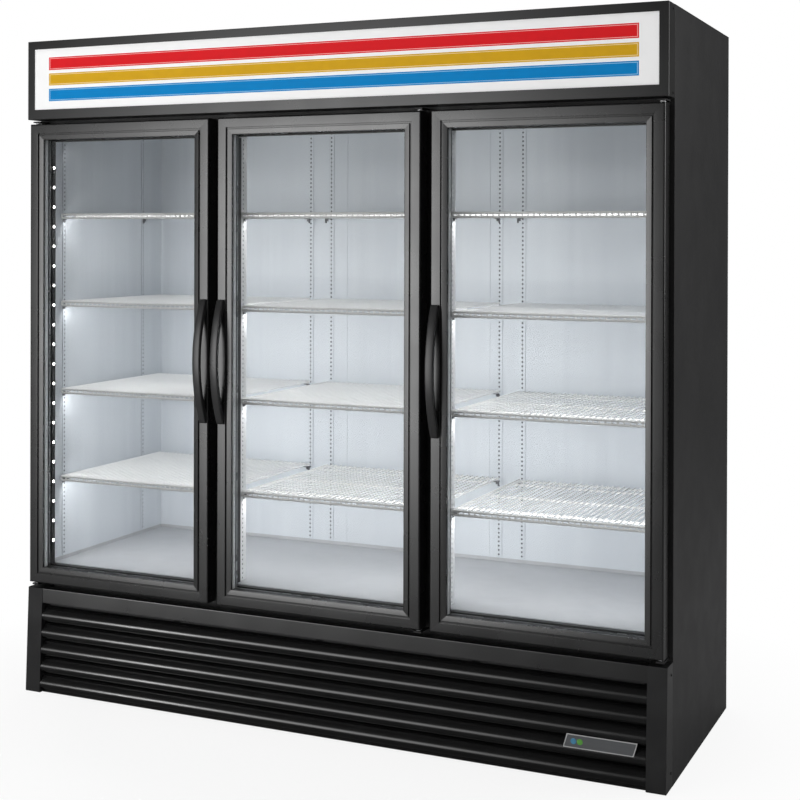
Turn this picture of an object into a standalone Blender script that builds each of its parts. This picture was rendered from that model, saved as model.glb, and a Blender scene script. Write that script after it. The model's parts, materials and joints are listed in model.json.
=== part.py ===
"""Three-door glass reach-in refrigerator with a bottom-mounted condensing unit.

Metres, +Z up. X runs along the width with the middle at 0, and Z is 0 at the floor.
The model is laid out with Y = 0 at the front plane of the doors and grows towards the rear.
One empty then carries everything, so that the origin is the bottom centre of the whole object.
"""

import math

import bmesh
import bpy
from mathutils import Matrix, Vector

# ---------------------------------------------------------------- driving dimensions

WIDTH = 1.984
DEPTH = 0.759
HEIGHT = 1.997
HANDLE_REACH = 0.046          # how far a handle stands in front of the doors

FIT = 0.0004                  # gap between pieces that touch
SHEET = 0.0015                # outer steel sheet
HALF = WIDTH / 2

FACE_Y = 0.066                # front plane of the cabinet, behind the doors
FRAME_DEPTH = 0.020
FRAME_HALF = 0.9715           # half width of the face frame
OPENING_HALF = 0.950          # half width of the opening in the face frame
LINER_HALF = 0.957            # half width inside the cabinet, behind the face frame
OPENING_LOW = 0.381
OPENING_HIGH = 1.692
CAVITY_TOP = 1.935
CAVITY_REAR = 0.704
MACHINE_TOP = 0.300           # underside of the insulated floor
LINER = 0.001

HEADER_LOW = 1.757
SIGN_BORDER_SIDE = 0.025
SIGN_BORDER_TOP = 0.025
SIGN_BORDER_LOW = 0.030

DOOR_WIDTH = 0.636
DOOR_GAP = 0.029
DOOR_LOW = 0.336
DOOR_HIGH = 1.743
DOOR_DEPTH = 0.050
RAIL = 0.049                  # door frame width, edge to glass
LAND = 0.028                  # flat outer land of the door frame
GROOVE = 0.006
GLASS_UNIT = 0.022
PANE = 0.004
BAY_PITCH = DOOR_WIDTH + DOOR_GAP
MULLION_X = BAY_PITCH / 2
MULLION_WIDTH = 0.066
MULLION_DEPTH = 0.044
FLANGE_WIDTH = 0.092          # front plate of a mullion, where two gaskets land
FLANGE_THICK = 0.006

GASKET_INSET = 0.0105
GASKET_WIDTH = 0.022

HINGE_INSET = 0.012           # hinge axis from the door's edge
HINGE_Y = 0.025
PIN_RADIUS = 0.004
PIN_BORE = 0.0048
HANDLE_LOW = 0.860
HANDLE_HIGH = 1.2185
HANDLE_WIDTH = 0.023
HANDLE_STRAP = 0.010
HANDLE_INSET = 0.0145         # handle centre from the door's free edge

GRILLE_TOP = 0.318
GRILLE_TOP_Y = 0.008          # front of the grille at its top, behind the doors' plane
GRILLE_LEAN = 0.014           # how much further forwards it stands at the floor
CAP_WIDTH = 0.052
CAP_LOW = 0.010               # the caps end a little above the floor
RIDGE_TOP = 0.232             # highest louvre nose
RIDGE_PITCH = 0.0515
RIDGE_COUNT = 5
NOSE_RADIUS = 0.0065
KICK_TOP = 0.012              # lip along the floor, under the lowest nose
GRILLE_RAIL_LOW = 0.272
GRILLE_BACK = 0.036
GRILLE_SHEET = 0.003

SHELF_TOPS = (0.649, 0.923, 1.197, 1.471)
SHELF_FRONT = 0.115
SHELF_REAR = 0.690
SHELF_THICK = 0.010
SHELF_BARS = 9
SHELF_END_GAP = 0.004         # from the cabinet's side wall
SHELF_JOIN_GAP = 0.031        # from the section line behind a mullion

FAN_BLADES = 5
SWITCH_TILT = 7               # the light switch rests on one side of its travel
DOORS = (("left", -BAY_PITCH, -1), ("centre", 0.0, 1), ("right", BAY_PITCH, 1))

# ---------------------------------------------------------------- collections and materials


def clear_scene():
    for thing in list(bpy.data.objects):
        bpy.data.objects.remove(thing, do_unlink=True)


def new_collection(name):
    group = bpy.data.collections.new(name)
    bpy.context.scene.collection.children.link(group)
    return group


def new_material(name, colour, roughness, metallic=0.0, alpha=1.0):
    material = bpy.data.materials.new(name)
    material.use_nodes = True
    shader = material.node_tree.nodes["Principled BSDF"]
    shader.inputs["Base Color"].default_value = (*colour, 1.0)
    shader.inputs["Roughness"].default_value = roughness
    shader.inputs["Metallic"].default_value = metallic
    shader.inputs["Alpha"].default_value = alpha
    return material


clear_scene()
PARTS = new_collection("reach_in_refrigerator")
CUTTERS = new_collection("cutters")

BLACK_STEEL = new_material("black_coated_steel", (0.035, 0.035, 0.037), 0.45)
BLACK_FRAME = new_material("black_door_frame", (0.045, 0.045, 0.047), 0.38)
BLACK_PLASTIC = new_material("black_moulded_plastic", (0.028, 0.028, 0.029), 0.42)
SIGN_WHITE = new_material("sign_white", (0.86, 0.86, 0.86), 0.30)
LAMP_WHITE = new_material("lamp_white", (0.90, 0.90, 0.88), 0.40)
LINER_WHITE = new_material("liner_white", (0.78, 0.80, 0.82), 0.35)
FOAM = new_material("insulating_foam", (0.80, 0.74, 0.52), 0.90)
GLASS = new_material("door_glass", (0.90, 0.93, 0.93), 0.02, alpha=0.30)
GASKET = new_material("black_gasket", (0.022, 0.022, 0.022), 0.60)
SHELF_WHITE = new_material("shelf_coating", (0.84, 0.84, 0.83), 0.40)
BRIGHT_STEEL = new_material("bright_steel", (0.62, 0.62, 0.63), 0.28, 1.0)
GALVANISED = new_material("galvanised_steel", (0.52, 0.54, 0.55), 0.45, 1.0)
ALUMINIUM = new_material("aluminium_fins", (0.66, 0.67, 0.68), 0.35, 1.0)
COMPRESSOR_BLACK = new_material("compressor_black", (0.02, 0.02, 0.02), 0.35)
GREY_PLASTIC = new_material("grey_plastic", (0.30, 0.31, 0.32), 0.50)
WHITE_PLASTIC = new_material("white_plastic", (0.80, 0.80, 0.79), 0.45)

# ---------------------------------------------------------------- shape helpers


def add_empty(name, place, parent=None):
    empty = bpy.data.objects.new(name, None)
    empty.empty_display_size = 0.05
    empty.location = place
    PARTS.objects.link(empty)
    if parent:
        ride(empty, parent)
    return empty


def ride(thing, parent):
    """Parent a piece without moving it."""
    bpy.context.view_layer.update()
    thing.parent = parent
    thing.matrix_parent_inverse = parent.matrix_world.inverted()


def move_to(thing, group):
    for old in list(thing.users_collection):
        old.objects.unlink(thing)
    group.objects.link(thing)


def finish_piece(thing, name, material, parent):
    thing.name = name
    thing.data.name = name
    thing.data.materials.clear()
    thing.data.materials.append(material)
    move_to(thing, PARTS)
    ride(thing, parent)
    return thing


def add_bevel(thing, width, segments=2, angle=40):
    bevel = thing.modifiers.new("rounded_edges", "BEVEL")
    bevel.width = width
    bevel.segments = segments
    bevel.limit_method = "ANGLE"
    bevel.angle_limit = math.radians(angle)
    return thing


def raw_box(low, high):
    low = Vector(low)
    high = Vector(high)
    bpy.ops.mesh.primitive_cube_add(size=1.0, location=(low + high) / 2)
    box = bpy.context.object
    box.scale = high - low
    bpy.ops.object.transform_apply(location=False, rotation=False, scale=True)
    return box


def add_box(name, low, high, material, parent, bevel=0.0):
    box = finish_piece(raw_box(low, high), name, material, parent)
    if bevel:
        add_bevel(box, bevel)
    return box


def raw_cylinder(centre, radius, length, axis="Z", vertices=24):
    turns = {"X": (0, math.pi / 2, 0), "Y": (math.pi / 2, 0, 0), "Z": (0, 0, 0)}
    bpy.ops.mesh.primitive_cylinder_add(
        vertices=vertices, radius=radius, depth=length, location=centre, rotation=turns[axis])
    return bpy.context.object


def raw_outline(points, axis, low, high):
    """Extrude a flat outline. Its points are (Y, Z) for axis X, and (X, Y) for axis Z."""
    curve = bpy.data.curves.new("outline", "CURVE")
    curve.dimensions = "2D"
    curve.fill_mode = "BOTH"
    curve.extrude = (high - low) / 2
    spline = curve.splines.new("POLY")
    spline.points.add(len(points) - 1)
    for point, (across, up) in zip(spline.points, points):
        point.co = (across, up, 0.0, 1.0)
    spline.use_cyclic_u = True
    flat = bpy.data.objects.new("outline", curve)
    bpy.context.scene.collection.objects.link(flat)
    middle = (low + high) / 2
    if axis == "X":
        # local x, y, z become world Y, Z, X
        flat.matrix_world = Matrix(((0, 0, 1, middle), (1, 0, 0, 0), (0, 1, 0, 0), (0, 0, 0, 1)))
    else:
        flat.matrix_world = Matrix.Translation((0, 0, middle))
    return mesh_from_curve(flat)


def mesh_from_curve(flat):
    """Turn a curve object into a welded mesh object in the same place."""
    bpy.context.view_layer.update()
    evaluated = flat.evaluated_get(bpy.context.evaluated_depsgraph_get())
    mesh = bpy.data.meshes.new_from_object(evaluated)
    shape = bmesh.new()
    shape.from_mesh(mesh)
    bmesh.ops.remove_doubles(shape, verts=shape.verts, dist=0.00001)
    bmesh.ops.recalc_face_normals(shape, faces=shape.faces)
    shape.to_mesh(mesh)
    shape.free()
    solid = bpy.data.objects.new("outline", mesh)
    bpy.context.scene.collection.objects.link(solid)
    solid.matrix_world = flat.matrix_world
    bpy.data.objects.remove(flat, do_unlink=True)
    return solid


def add_outline(name, points, axis, low, high, material, parent):
    return finish_piece(raw_outline(points, axis, low, high), name, material, parent)


def hide_cutter(cutter, name, parent):
    cutter.name = name
    cutter.hide_render = True
    cutter.display_type = "WIRE"
    move_to(cutter, CUTTERS)
    ride(cutter, parent)
    return cutter


def combine(target, cutter, operation):
    boolean = target.modifiers.new(operation.lower(), "BOOLEAN")
    boolean.operation = operation
    boolean.solver = "EXACT"
    boolean.object = cutter


def cut(target, raw_shape, label):
    cutter = hide_cutter(raw_shape, target.name + "_" + label, target.parent)
    combine(target, cutter, "DIFFERENCE")


def join_shape(target, raw_shape, label):
    cutter = hide_cutter(raw_shape, target.name + "_" + label, target.parent)
    combine(target, cutter, "UNION")


def many_boxes(boxes):
    """One mesh of separate boxes, for cutting a row of openings."""
    shape = bmesh.new()
    for low, high in boxes:
        low = Vector(low)
        high = Vector(high)
        place = Matrix.Translation((low + high) / 2) @ Matrix.Diagonal((*(high - low), 1.0))
        bmesh.ops.create_cube(shape, size=1.0, matrix=place)
    mesh = bpy.data.meshes.new("openings")
    shape.to_mesh(mesh)
    shape.free()
    cutter = bpy.data.objects.new("openings", mesh)
    bpy.context.scene.collection.objects.link(cutter)
    return cutter


def raw_ring(low, high, border):
    """A rectangular ring in X and Z, as a box with its own window cut through."""
    ring = raw_box(low, high)
    hole = raw_box((low[0] + border, low[1] - 0.01, low[2] + border),
                   (high[0] - border, high[1] + 0.01, high[2] - border))
    return ring, hole


def smooth(thing, angle=35):
    thing.data.shade_smooth()
    thing.data.set_sharp_from_angle(angle=math.radians(angle))
    return thing


def arc_points(centre, radius, start, end, count):
    """Points on an arc, angles in degrees."""
    points = []
    for index in range(count + 1):
        angle = math.radians(start + (end - start) * index / count)
        points.append((centre[0] + radius * math.cos(angle), centre[1] + radius * math.sin(angle)))
    return points


# ---------------------------------------------------------------- cabinet


def build_base_frame(root):
    """A shallow pan with a post in each corner, which carries the cabinet."""
    side = HALF - SHEET - FIT
    front = FACE_Y + 0.003
    rear = DEPTH - SHEET - FIT
    frame = add_box("base_frame", (-side, front, 0), (side, rear, MACHINE_TOP), GALVANISED, root)
    post = 0.040
    cut(frame, raw_box((-side + post, front - 0.01, 0.003), (side - post, rear + 0.01, 0.5)), "tunnel")
    cut(frame, raw_box((-side - 0.01, front + post, 0.040), (side + 0.01, rear - post, 0.5)), "crossing")


def build_side_panels(root):
    """Each side skin is a sheet folded inwards at the front."""
    fold = HALF - FRAME_HALF - FIT
    rear = DEPTH - SHEET - FIT
    for name, sign in (("left", -1), ("right", 1)):
        outline = [(sign * HALF, FACE_Y), (sign * HALF, rear), (sign * (HALF - SHEET), rear),
                   (sign * (HALF - SHEET), FACE_Y + SHEET), (sign * (HALF - fold), FACE_Y + SHEET),
                   (sign * (HALF - fold), FACE_Y)]
        add_outline("side_panel_" + name, outline, "Z", 0, HEIGHT - SHEET - FIT, BLACK_STEEL, root)


def build_rear_and_top(root):
    rear = add_box("rear_panel", (-HALF, DEPTH - SHEET, 0), (HALF, DEPTH, HEIGHT - SHEET - FIT),
                   GALVANISED, root)
    slots = []
    for middle in (-0.55, 0.55):
        for row in range(7):
            low = 0.070 + row * 0.028
            slots.append(((middle - 0.16, DEPTH - 0.01, low), (middle + 0.16, DEPTH + 0.01, low + 0.010)))
    cut(rear, many_boxes(slots), "vents")
    cut(rear, raw_cylinder((0, DEPTH, 0.20), 0.0125, 0.02, "Y"), "cord_hole")
    add_box("top_panel", (-HALF, FACE_Y, HEIGHT - SHEET), (HALF, DEPTH, HEIGHT), BLACK_STEEL, root)


def build_cord_gland(root):
    """A flanged bush in the rear panel, turned about Y, with the cord's hole through it."""
    profile = ((0.0055, 0.006), (0.0055, -0.012), (0.0120, -0.012), (0.0120, 0.0002),
               (0.0170, 0.0002), (0.0170, 0.004), (0.0150, 0.006))
    mesh = bpy.data.meshes.new("gland")
    mesh.from_pydata([(radius, 0, along) for radius, along in reversed(profile)],
                     [(i, (i + 1) % len(profile)) for i in range(len(profile))], [])
    gland = bpy.data.objects.new("gland", mesh)
    bpy.context.scene.collection.objects.link(gland)
    screw = gland.modifiers.new("turned", "SCREW")
    screw.steps = 32
    screw.render_steps = 32
    screw.use_merge_vertices = True
    screw.merge_threshold = 0.0001
    gland.location = (0, DEPTH + FIT, 0.20)
    gland.rotation_euler = (-math.pi / 2, 0, 0)
    finish_piece(gland, "cord_gland", BLACK_PLASTIC, root)


def build_insulation_and_liner(root):
    front = FACE_Y + FRAME_DEPTH + FIT
    foam_side = HALF - SHEET - FIT
    foam = add_box("insulation", (-foam_side, front, MACHINE_TOP + FIT),
                   (foam_side, DEPTH - SHEET - FIT, HEIGHT - SHEET - 2 * FIT), FOAM, root)
    gap = LINER + FIT
    cut(foam, raw_box((-LINER_HALF - gap, front - 0.01, OPENING_LOW - gap),
                      (LINER_HALF + gap, CAVITY_REAR + gap, CAVITY_TOP + gap)), "cavity")
    liner = add_box("liner", (-LINER_HALF - LINER, front, OPENING_LOW - LINER),
                    (LINER_HALF + LINER, CAVITY_REAR + LINER, CAVITY_TOP + LINER), LINER_WHITE, root)
    cut(liner, raw_box((-LINER_HALF, front - 0.01, OPENING_LOW),
                       (LINER_HALF, CAVITY_REAR, CAVITY_TOP)), "inside")


def build_face_frame(root):
    """The black frame round the opening, and the two mullions between the doors."""
    frame = add_box("face_frame", (-FRAME_HALF, FACE_Y, MACHINE_TOP + 0.001),
                    (FRAME_HALF, FACE_Y + FRAME_DEPTH, HEIGHT - SHEET - FIT), BLACK_FRAME, root)
    cut(frame, raw_box((-OPENING_HALF, 0, OPENING_LOW), (OPENING_HALF, 0.2, OPENING_HIGH)), "opening")
    half = MULLION_WIDTH / 2
    flange = FLANGE_WIDTH / 2
    step = FACE_Y + FLANGE_THICK
    rear = FACE_Y + MULLION_DEPTH
    for name, middle in (("mullion_left", -MULLION_X), ("mullion_right", MULLION_X)):
        outline = [(middle - flange, FACE_Y), (middle + flange, FACE_Y), (middle + flange, step),
                   (middle + half, step), (middle + half, rear), (middle - half, rear),
                   (middle - half, step), (middle - flange, step)]
        add_outline(name, outline, "Z", OPENING_LOW + FIT, OPENING_HIGH - FIT, BLACK_FRAME, root)


# ---------------------------------------------------------------- header and grille


def build_header(root):
    """The sign box: a folded frame with a window, the panel and a lamp bar behind it."""
    rear = FACE_Y - FIT
    frame = add_box("sign_frame", (-HALF, 0, HEADER_LOW), (HALF, rear, HEIGHT), BLACK_STEEL, root, 0.0015)
    wall = 0.002
    cut(frame, raw_box((-HALF + wall, wall, HEADER_LOW + wall), (HALF - wall, 0.2, HEIGHT - wall)), "inside")
    window_low = (-HALF + SIGN_BORDER_SIDE, -0.01, HEADER_LOW + SIGN_BORDER_LOW)
    window_high = (HALF - SIGN_BORDER_SIDE, 0.01, HEIGHT - SIGN_BORDER_TOP)
    cut(frame, raw_box(window_low, window_high), "window")
    lap = 0.008
    add_box("sign_panel", (window_low[0] - lap, wall + FIT, window_low[2] - lap),
            (window_high[0] + lap, wall + FIT + 0.003, window_high[2] + lap), SIGN_WHITE, root)
    add_box("sign_lamp", (-0.90, 0.044, 1.868), (0.90, rear - FIT, 1.888), LAMP_WHITE, root, 0.003)


def lean(height):
    """Front plane of the grille, which stands further forwards the lower it gets."""
    return GRILLE_TOP_Y - GRILLE_LEAN * (1 - height / GRILLE_TOP)


def build_grille_caps(root):
    """End caps that lean forwards to the floor, hollow and open at the rear."""
    rear = FACE_Y - FIT
    for name, sign in (("grille_cap_left", -1), ("grille_cap_right", 1)):
        low, high = sorted((sign * HALF, sign * (HALF - CAP_WIDTH)))
        outline = [(rear, CAP_LOW), (rear, GRILLE_TOP), (lean(GRILLE_TOP) + 0.004, GRILLE_TOP),
                   (lean(GRILLE_TOP), GRILLE_TOP - 0.004), (lean(CAP_LOW), CAP_LOW + 0.003),
                   (lean(CAP_LOW) + 0.003, CAP_LOW)]
        cap = add_outline(name, outline, "X", low, high, BLACK_PLASTIC, root)
        wall = 0.003
        cut(cap, raw_box((low + wall, 0.014, CAP_LOW + wall), (high - wall, 0.2, GRILLE_TOP - wall)),
            "inside")


def louvre_outline():
    """Side profile of the louvred panel: a flat rail, five blades that end in a round nose, a low lip."""
    inner = GRILLE_BACK - GRILLE_SHEET
    rail = lean(GRILLE_TOP) + 0.001
    outline = [(inner, GRILLE_TOP), (rail + 0.002, GRILLE_TOP), (rail, GRILLE_TOP - 0.003),
               (rail - 0.001, GRILLE_RAIL_LOW + 0.002), (rail + 0.001, GRILLE_RAIL_LOW),
               (inner, GRILLE_RAIL_LOW)]
    for index in range(RIDGE_COUNT):
        height = RIDGE_TOP - index * RIDGE_PITCH
        outline.append((inner, height + 0.030))
        outline += arc_points((lean(height) + NOSE_RADIUS + 0.002, height), NOSE_RADIUS, 115, 270, 6)
        outline.append((inner, height - NOSE_RADIUS))
    lip = lean(0) + 0.004
    recess = lip + 0.012
    outline[-1] = (recess, height - NOSE_RADIUS)
    outline += [(recess, KICK_TOP), (lip, KICK_TOP), (lip, 0.0), (GRILLE_BACK, 0.0),
                (GRILLE_BACK, GRILLE_TOP)]
    return outline


def build_louvre_panel(root):
    side = HALF - CAP_WIDTH - FIT
    panel = add_outline("louvre_panel", louvre_outline(), "X", -side, side, BLACK_PLASTIC, root)
    slots = []
    bays = 4
    rib = 0.012
    bay = (2 * side - rib) / bays
    for index in range(RIDGE_COUNT):
        height = RIDGE_TOP - index * RIDGE_PITCH
        for column in range(bays):
            left = -side + rib + column * bay
            slots.append(((left, GRILLE_BACK - 2 * GRILLE_SHEET, height + 0.014),
                          (left + bay - rib, GRILLE_BACK + 0.01, height + 0.029)))
    cut(panel, many_boxes(slots), "air_slots")


def build_badge(root):
    """A thin plate with leaning ends, standing on the louvre noses."""
    low, high, slant = 0.083, 0.119, 0.010
    outline = [(0.722, low), (0.908, low), (0.908 + slant, high), (0.722 + slant, high)]
    plate = raw_outline(outline, "Z", 0, 0.0018)
    plate.matrix_world = (Matrix.Translation((0, lean(high) + 0.001, 0))
                          @ Matrix.Rotation(math.pi / 2, 4, "X"))
    finish_piece(plate, "badge", BRIGHT_STEEL, root)


# ---------------------------------------------------------------- doors and hinges


def build_door(root, name, middle, hinge_side):
    left = middle - DOOR_WIDTH / 2
    right = middle + DOOR_WIDTH / 2
    axis_x = middle + hinge_side * (DOOR_WIDTH / 2 - HINGE_INSET)
    pivot = add_empty(name + "_door_pivot", (axis_x, HINGE_Y, DOOR_LOW), root)

    frame = add_box("door_frame_" + name, (left, 0, DOOR_LOW), (right, DOOR_DEPTH, DOOR_HIGH),
                    BLACK_FRAME, pivot, 0.003)

    def inset(border, near, far):
        return ((left + border, near, DOOR_LOW + border), (right - border, far, DOOR_HIGH - border))

    cut(frame, raw_box(*inset(RAIL, -0.01, 0.2)), "window")
    rebate = RAIL - 0.009
    glass_front = 0.0085
    cut(frame, raw_box(*inset(rebate, glass_front, 0.2)), "rebate")
    low, high = inset(LAND, -0.01, 0.005)
    ring, hole = raw_ring(low, high, GROOVE)
    cut_ring(frame, ring, hole, "groove")
    low, high = inset(0.0025, glass_front, DOOR_DEPTH - 0.0025)
    ring, hole = raw_ring(low, high, rebate - 2 * 0.0025)
    cut_ring(frame, ring, hole, "hollow")
    cut(frame, raw_cylinder((axis_x, HINGE_Y, DOOR_LOW), PIN_BORE, 0.02), "bush_low")
    cut(frame, raw_cylinder((axis_x, HINGE_Y, DOOR_HIGH), PIN_BORE, 0.02), "bush_high")

    build_glass_unit(name, inset(rebate + FIT, glass_front + FIT, glass_front + FIT + GLASS_UNIT), pivot)

    low, high = inset(GASKET_INSET, DOOR_DEPTH + FIT, FACE_Y - FIT)
    gasket = add_box("gasket_" + name, low, high, GASKET, pivot)
    cut(gasket, raw_box(*inset(GASKET_INSET + GASKET_WIDTH, 0, 0.2)), "window")

    build_handle(name, middle - hinge_side * (DOOR_WIDTH / 2 - HANDLE_INSET), pivot)


def cut_ring(target, ring, hole, label):
    """Cut a rectangular ring out of a piece."""
    hide_cutter(hole, target.name + "_" + label + "_core", target.parent)
    combine(ring, hole, "DIFFERENCE")
    cut(target, ring, label)


def build_glass_unit(name, corners, pivot):
    """Two panes with an air space, open only at the small filling port in the lower edge."""
    low, high = corners
    unit = add_box("glass_unit_" + name, low, high, GLASS, pivot)
    edge = 0.008
    cut(unit, raw_box((low[0] + edge, low[1] + PANE, low[2] + edge),
                      (high[0] - edge, high[1] - PANE, high[2] - edge)), "air_space")
    port = ((low[0] + high[0]) / 2, (low[1] + high[1]) / 2, low[2])
    cut(unit, raw_cylinder(port, 0.002, 0.04, "Z", 12), "filling_port")


def build_handle(name, middle, pivot):
    """A flat strap bent into a bow, with both feet on the door's face."""
    centre_z = (HANDLE_LOW + HANDLE_HIGH) / 2
    half = (HANDLE_HIGH - HANDLE_LOW) / 2
    foot = HANDLE_STRAP
    rise = HANDLE_REACH - foot
    inner_half = half - 0.026
    inner_rise = HANDLE_REACH - HANDLE_STRAP

    def bow(half_length, height, base, count):
        radius = (half_length ** 2 + height ** 2) / (2 * height)
        span = math.degrees(math.asin(half_length / radius))
        centre = (-base + radius - height, centre_z)
        return arc_points(centre, radius, 180 + span, 180 - span, count)

    outer = bow(half, rise, foot, 20)
    inner = bow(inner_half, inner_rise - FIT, FIT, 16)
    outline = [(-FIT, HANDLE_LOW)] + outer + [(-FIT, HANDLE_HIGH)] + list(reversed(inner))
    add_outline("handle_" + name, outline, "X", middle - HANDLE_WIDTH / 2, middle + HANDLE_WIDTH / 2,
                BLACK_PLASTIC, pivot)


def build_hinges(root):
    """A plate on the cabinet with a pin that stands in the door's bush, above and below each door."""
    rear = FACE_Y - FIT
    top_plate = (DOOR_HIGH + 0.0055, DOOR_HIGH + 0.0095)
    low_plate = (DOOR_LOW - 0.0110, DOOR_LOW - 0.0065)
    for name, middle, hinge_side in DOORS:
        axis_x = middle + hinge_side * (DOOR_WIDTH / 2 - HINGE_INSET)
        levels = (("top", top_plate, DOOR_HIGH - 0.014, top_plate[1] - 0.001),
                  ("low", low_plate, low_plate[0] + 0.001, DOOR_LOW + 0.014))
        for level, plate, pin_low, pin_high in levels:
            bracket = add_box("hinge_" + level + "_" + name, (axis_x - 0.011, HINGE_Y - 0.011, plate[0]),
                              (axis_x + 0.011, rear, plate[1]), BLACK_STEEL, root)
            pin = raw_cylinder((axis_x, HINGE_Y, (pin_low + pin_high) / 2), PIN_RADIUS, pin_high - pin_low)
            join_shape(bracket, pin, "pin")


# ---------------------------------------------------------------- inside the cabinet


def bay_limits(index):
    """Where the shelves of one bay begin and end."""
    sides = ((-LINER_HALF + SHELF_END_GAP, -MULLION_X - SHELF_JOIN_GAP),
             (-MULLION_X + SHELF_JOIN_GAP, MULLION_X - SHELF_JOIN_GAP),
             (MULLION_X + SHELF_JOIN_GAP, LINER_HALF - SHELF_END_GAP))
    return sides[index]


def build_shelves(root):
    """Open racks: a rim with bars that run from front to rear."""
    for bay, bay_name in enumerate(("left", "centre", "right")):
        left, right = bay_limits(bay)
        for level, top in enumerate(SHELF_TOPS, start=1):
            name = "shelf_" + bay_name + "_" + str(level)
            shelf = add_box(name, (left, SHELF_FRONT, top - SHELF_THICK), (right, SHELF_REAR, top),
                            SHELF_WHITE, root)
            rim = 0.012
            bar = 0.008
            clear = (right - left - 2 * rim - (SHELF_BARS - 1) * bar) / SHELF_BARS
            slots = []
            for index in range(SHELF_BARS):
                start = left + rim + index * (clear + bar)
                slots.append(((start, SHELF_FRONT + rim, top - 0.1),
                              (start + clear, SHELF_REAR - rim, top + 0.1)))
            cut(shelf, many_boxes(slots), "gaps")


def add_fan(name, place, radius, hub, depth, parent):
    """Hub and twisted blades in one piece, turning about Y on its own empty."""
    pivot = add_empty(name + "_pivot", place, parent)
    fan = raw_cylinder(place, hub, depth, "Y", 20)
    finish_piece(fan, name, GREY_PLASTIC, pivot)
    for index in range(FAN_BLADES):
        turn = 2 * math.pi * index / FAN_BLADES
        blade = raw_box((hub * 0.6, -0.0012, -depth * 0.9), (radius, 0.0012, depth * 0.9))
        pitch = Matrix.Rotation(math.radians(58), 4, "X")
        spin = Matrix.Rotation(turn, 4, "Z")
        onto_y = Matrix.Rotation(math.pi / 2, 4, "X")
        blade.matrix_world = Matrix.Translation(place) @ onto_y @ spin @ pitch @ blade.matrix_world
        join_shape(fan, blade, "blade_" + str(index))


def build_evaporator(root):
    """The cooling unit under the ceiling: casing, coil, two fans, light switch, thermostat knob."""
    half, front, rear = 0.46, 0.260, 0.690
    low, high = 1.772, CAVITY_TOP - FIT
    wall = 0.002
    casing = add_box("evaporator_housing", (-half, front, low), (half, rear, high), WHITE_PLASTIC, root)
    cut(casing, raw_box((-half + wall, front + wall, low + wall), (half - wall, rear + 0.1, high + 0.1)),
        "inside")
    fan_z = (low + high) / 2
    fan_radius = 0.060
    for side, name in ((-0.22, "evaporator_fan_left"), (0.22, "evaporator_fan_right")):
        cut(casing, raw_cylinder((side, front, fan_z), fan_radius + 0.006, 0.04, "Y", 40), name + "_mouth")
        add_fan(name, (side, front + 0.020, fan_z), fan_radius, 0.014, 0.014, root)
    cut(casing, raw_box((0.385, front - 0.01, fan_z - 0.011), (0.403, front + 0.01, fan_z + 0.011)),
        "switch_hole")
    add_box("evaporator_coil", (-0.42, 0.43, low + 0.016), (0.42, 0.60, high - 0.016), ALUMINIUM, root, 0.002)

    switch_pivot = add_empty("light_switch_pivot", (0.394, front + 0.003, fan_z), root)
    rocker = raw_box((-0.0075, -0.006, -0.0095), (0.0075, 0.002, 0.0095))
    rocker.matrix_world = (Matrix.Translation(switch_pivot.location)
                           @ Matrix.Rotation(math.radians(SWITCH_TILT), 4, "X") @ rocker.matrix_world)
    finish_piece(rocker, "light_switch", BLACK_PLASTIC, switch_pivot)

    knob_pivot = add_empty("thermostat_pivot", (-0.39, front, fan_z), root)
    knob = raw_cylinder((-0.39, front - 0.0085 - FIT, fan_z), 0.017, 0.017, "Y", 32)
    finish_piece(knob, "thermostat_knob", BLACK_PLASTIC, knob_pivot)
    pointer = raw_box((-0.3915, front - 0.022, fan_z + 0.002), (-0.3885, front - 0.012, fan_z + 0.015))
    join_shape(knob, pointer, "pointer")
    smooth(knob)


# ---------------------------------------------------------------- machine compartment


def build_condensing_unit(root):
    floor = 0.003 + FIT
    build_compressor(root, (0.42, 0.48), floor)
    coil_front, coil_rear = 0.150, 0.215
    coil = add_box("condenser_coil", (-0.34, coil_front, floor), (0.14, coil_rear, 0.275), ALUMINIUM, root)
    add_bevel(coil, 0.002, 1)
    shroud_front = coil_rear + FIT
    fan_centre = (-0.10, shroud_front + 0.035, 0.140)
    fan_radius = 0.110
    shroud = add_box("fan_shroud", (-0.34, shroud_front, floor), (0.14, shroud_front + 0.060, 0.275),
                     GALVANISED, root)
    wall = 0.002
    cut(shroud, raw_box((-0.34 + wall, shroud_front - 0.01, floor + wall),
                        (0.14 - wall, shroud_front + 0.060 - wall, 0.275 - wall)), "inside")
    cut(shroud, raw_cylinder((fan_centre[0], shroud_front + 0.06, fan_centre[2]), fan_radius + 0.008, 0.04,
                             "Y", 48), "mouth")
    add_fan("condenser_fan", fan_centre, fan_radius, 0.024, 0.022, root)
    add_box("control_box", (-0.84, 0.16, floor), (-0.62, 0.30, 0.200), GALVANISED, root, 0.002)
    pan = add_box("drain_pan", (-0.82, 0.42, floor), (-0.36, 0.66, 0.050), GREY_PLASTIC, root)
    cut(pan, raw_box((-0.818, 0.422, floor + 0.002), (-0.362, 0.658, 0.1)), "inside")


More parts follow.
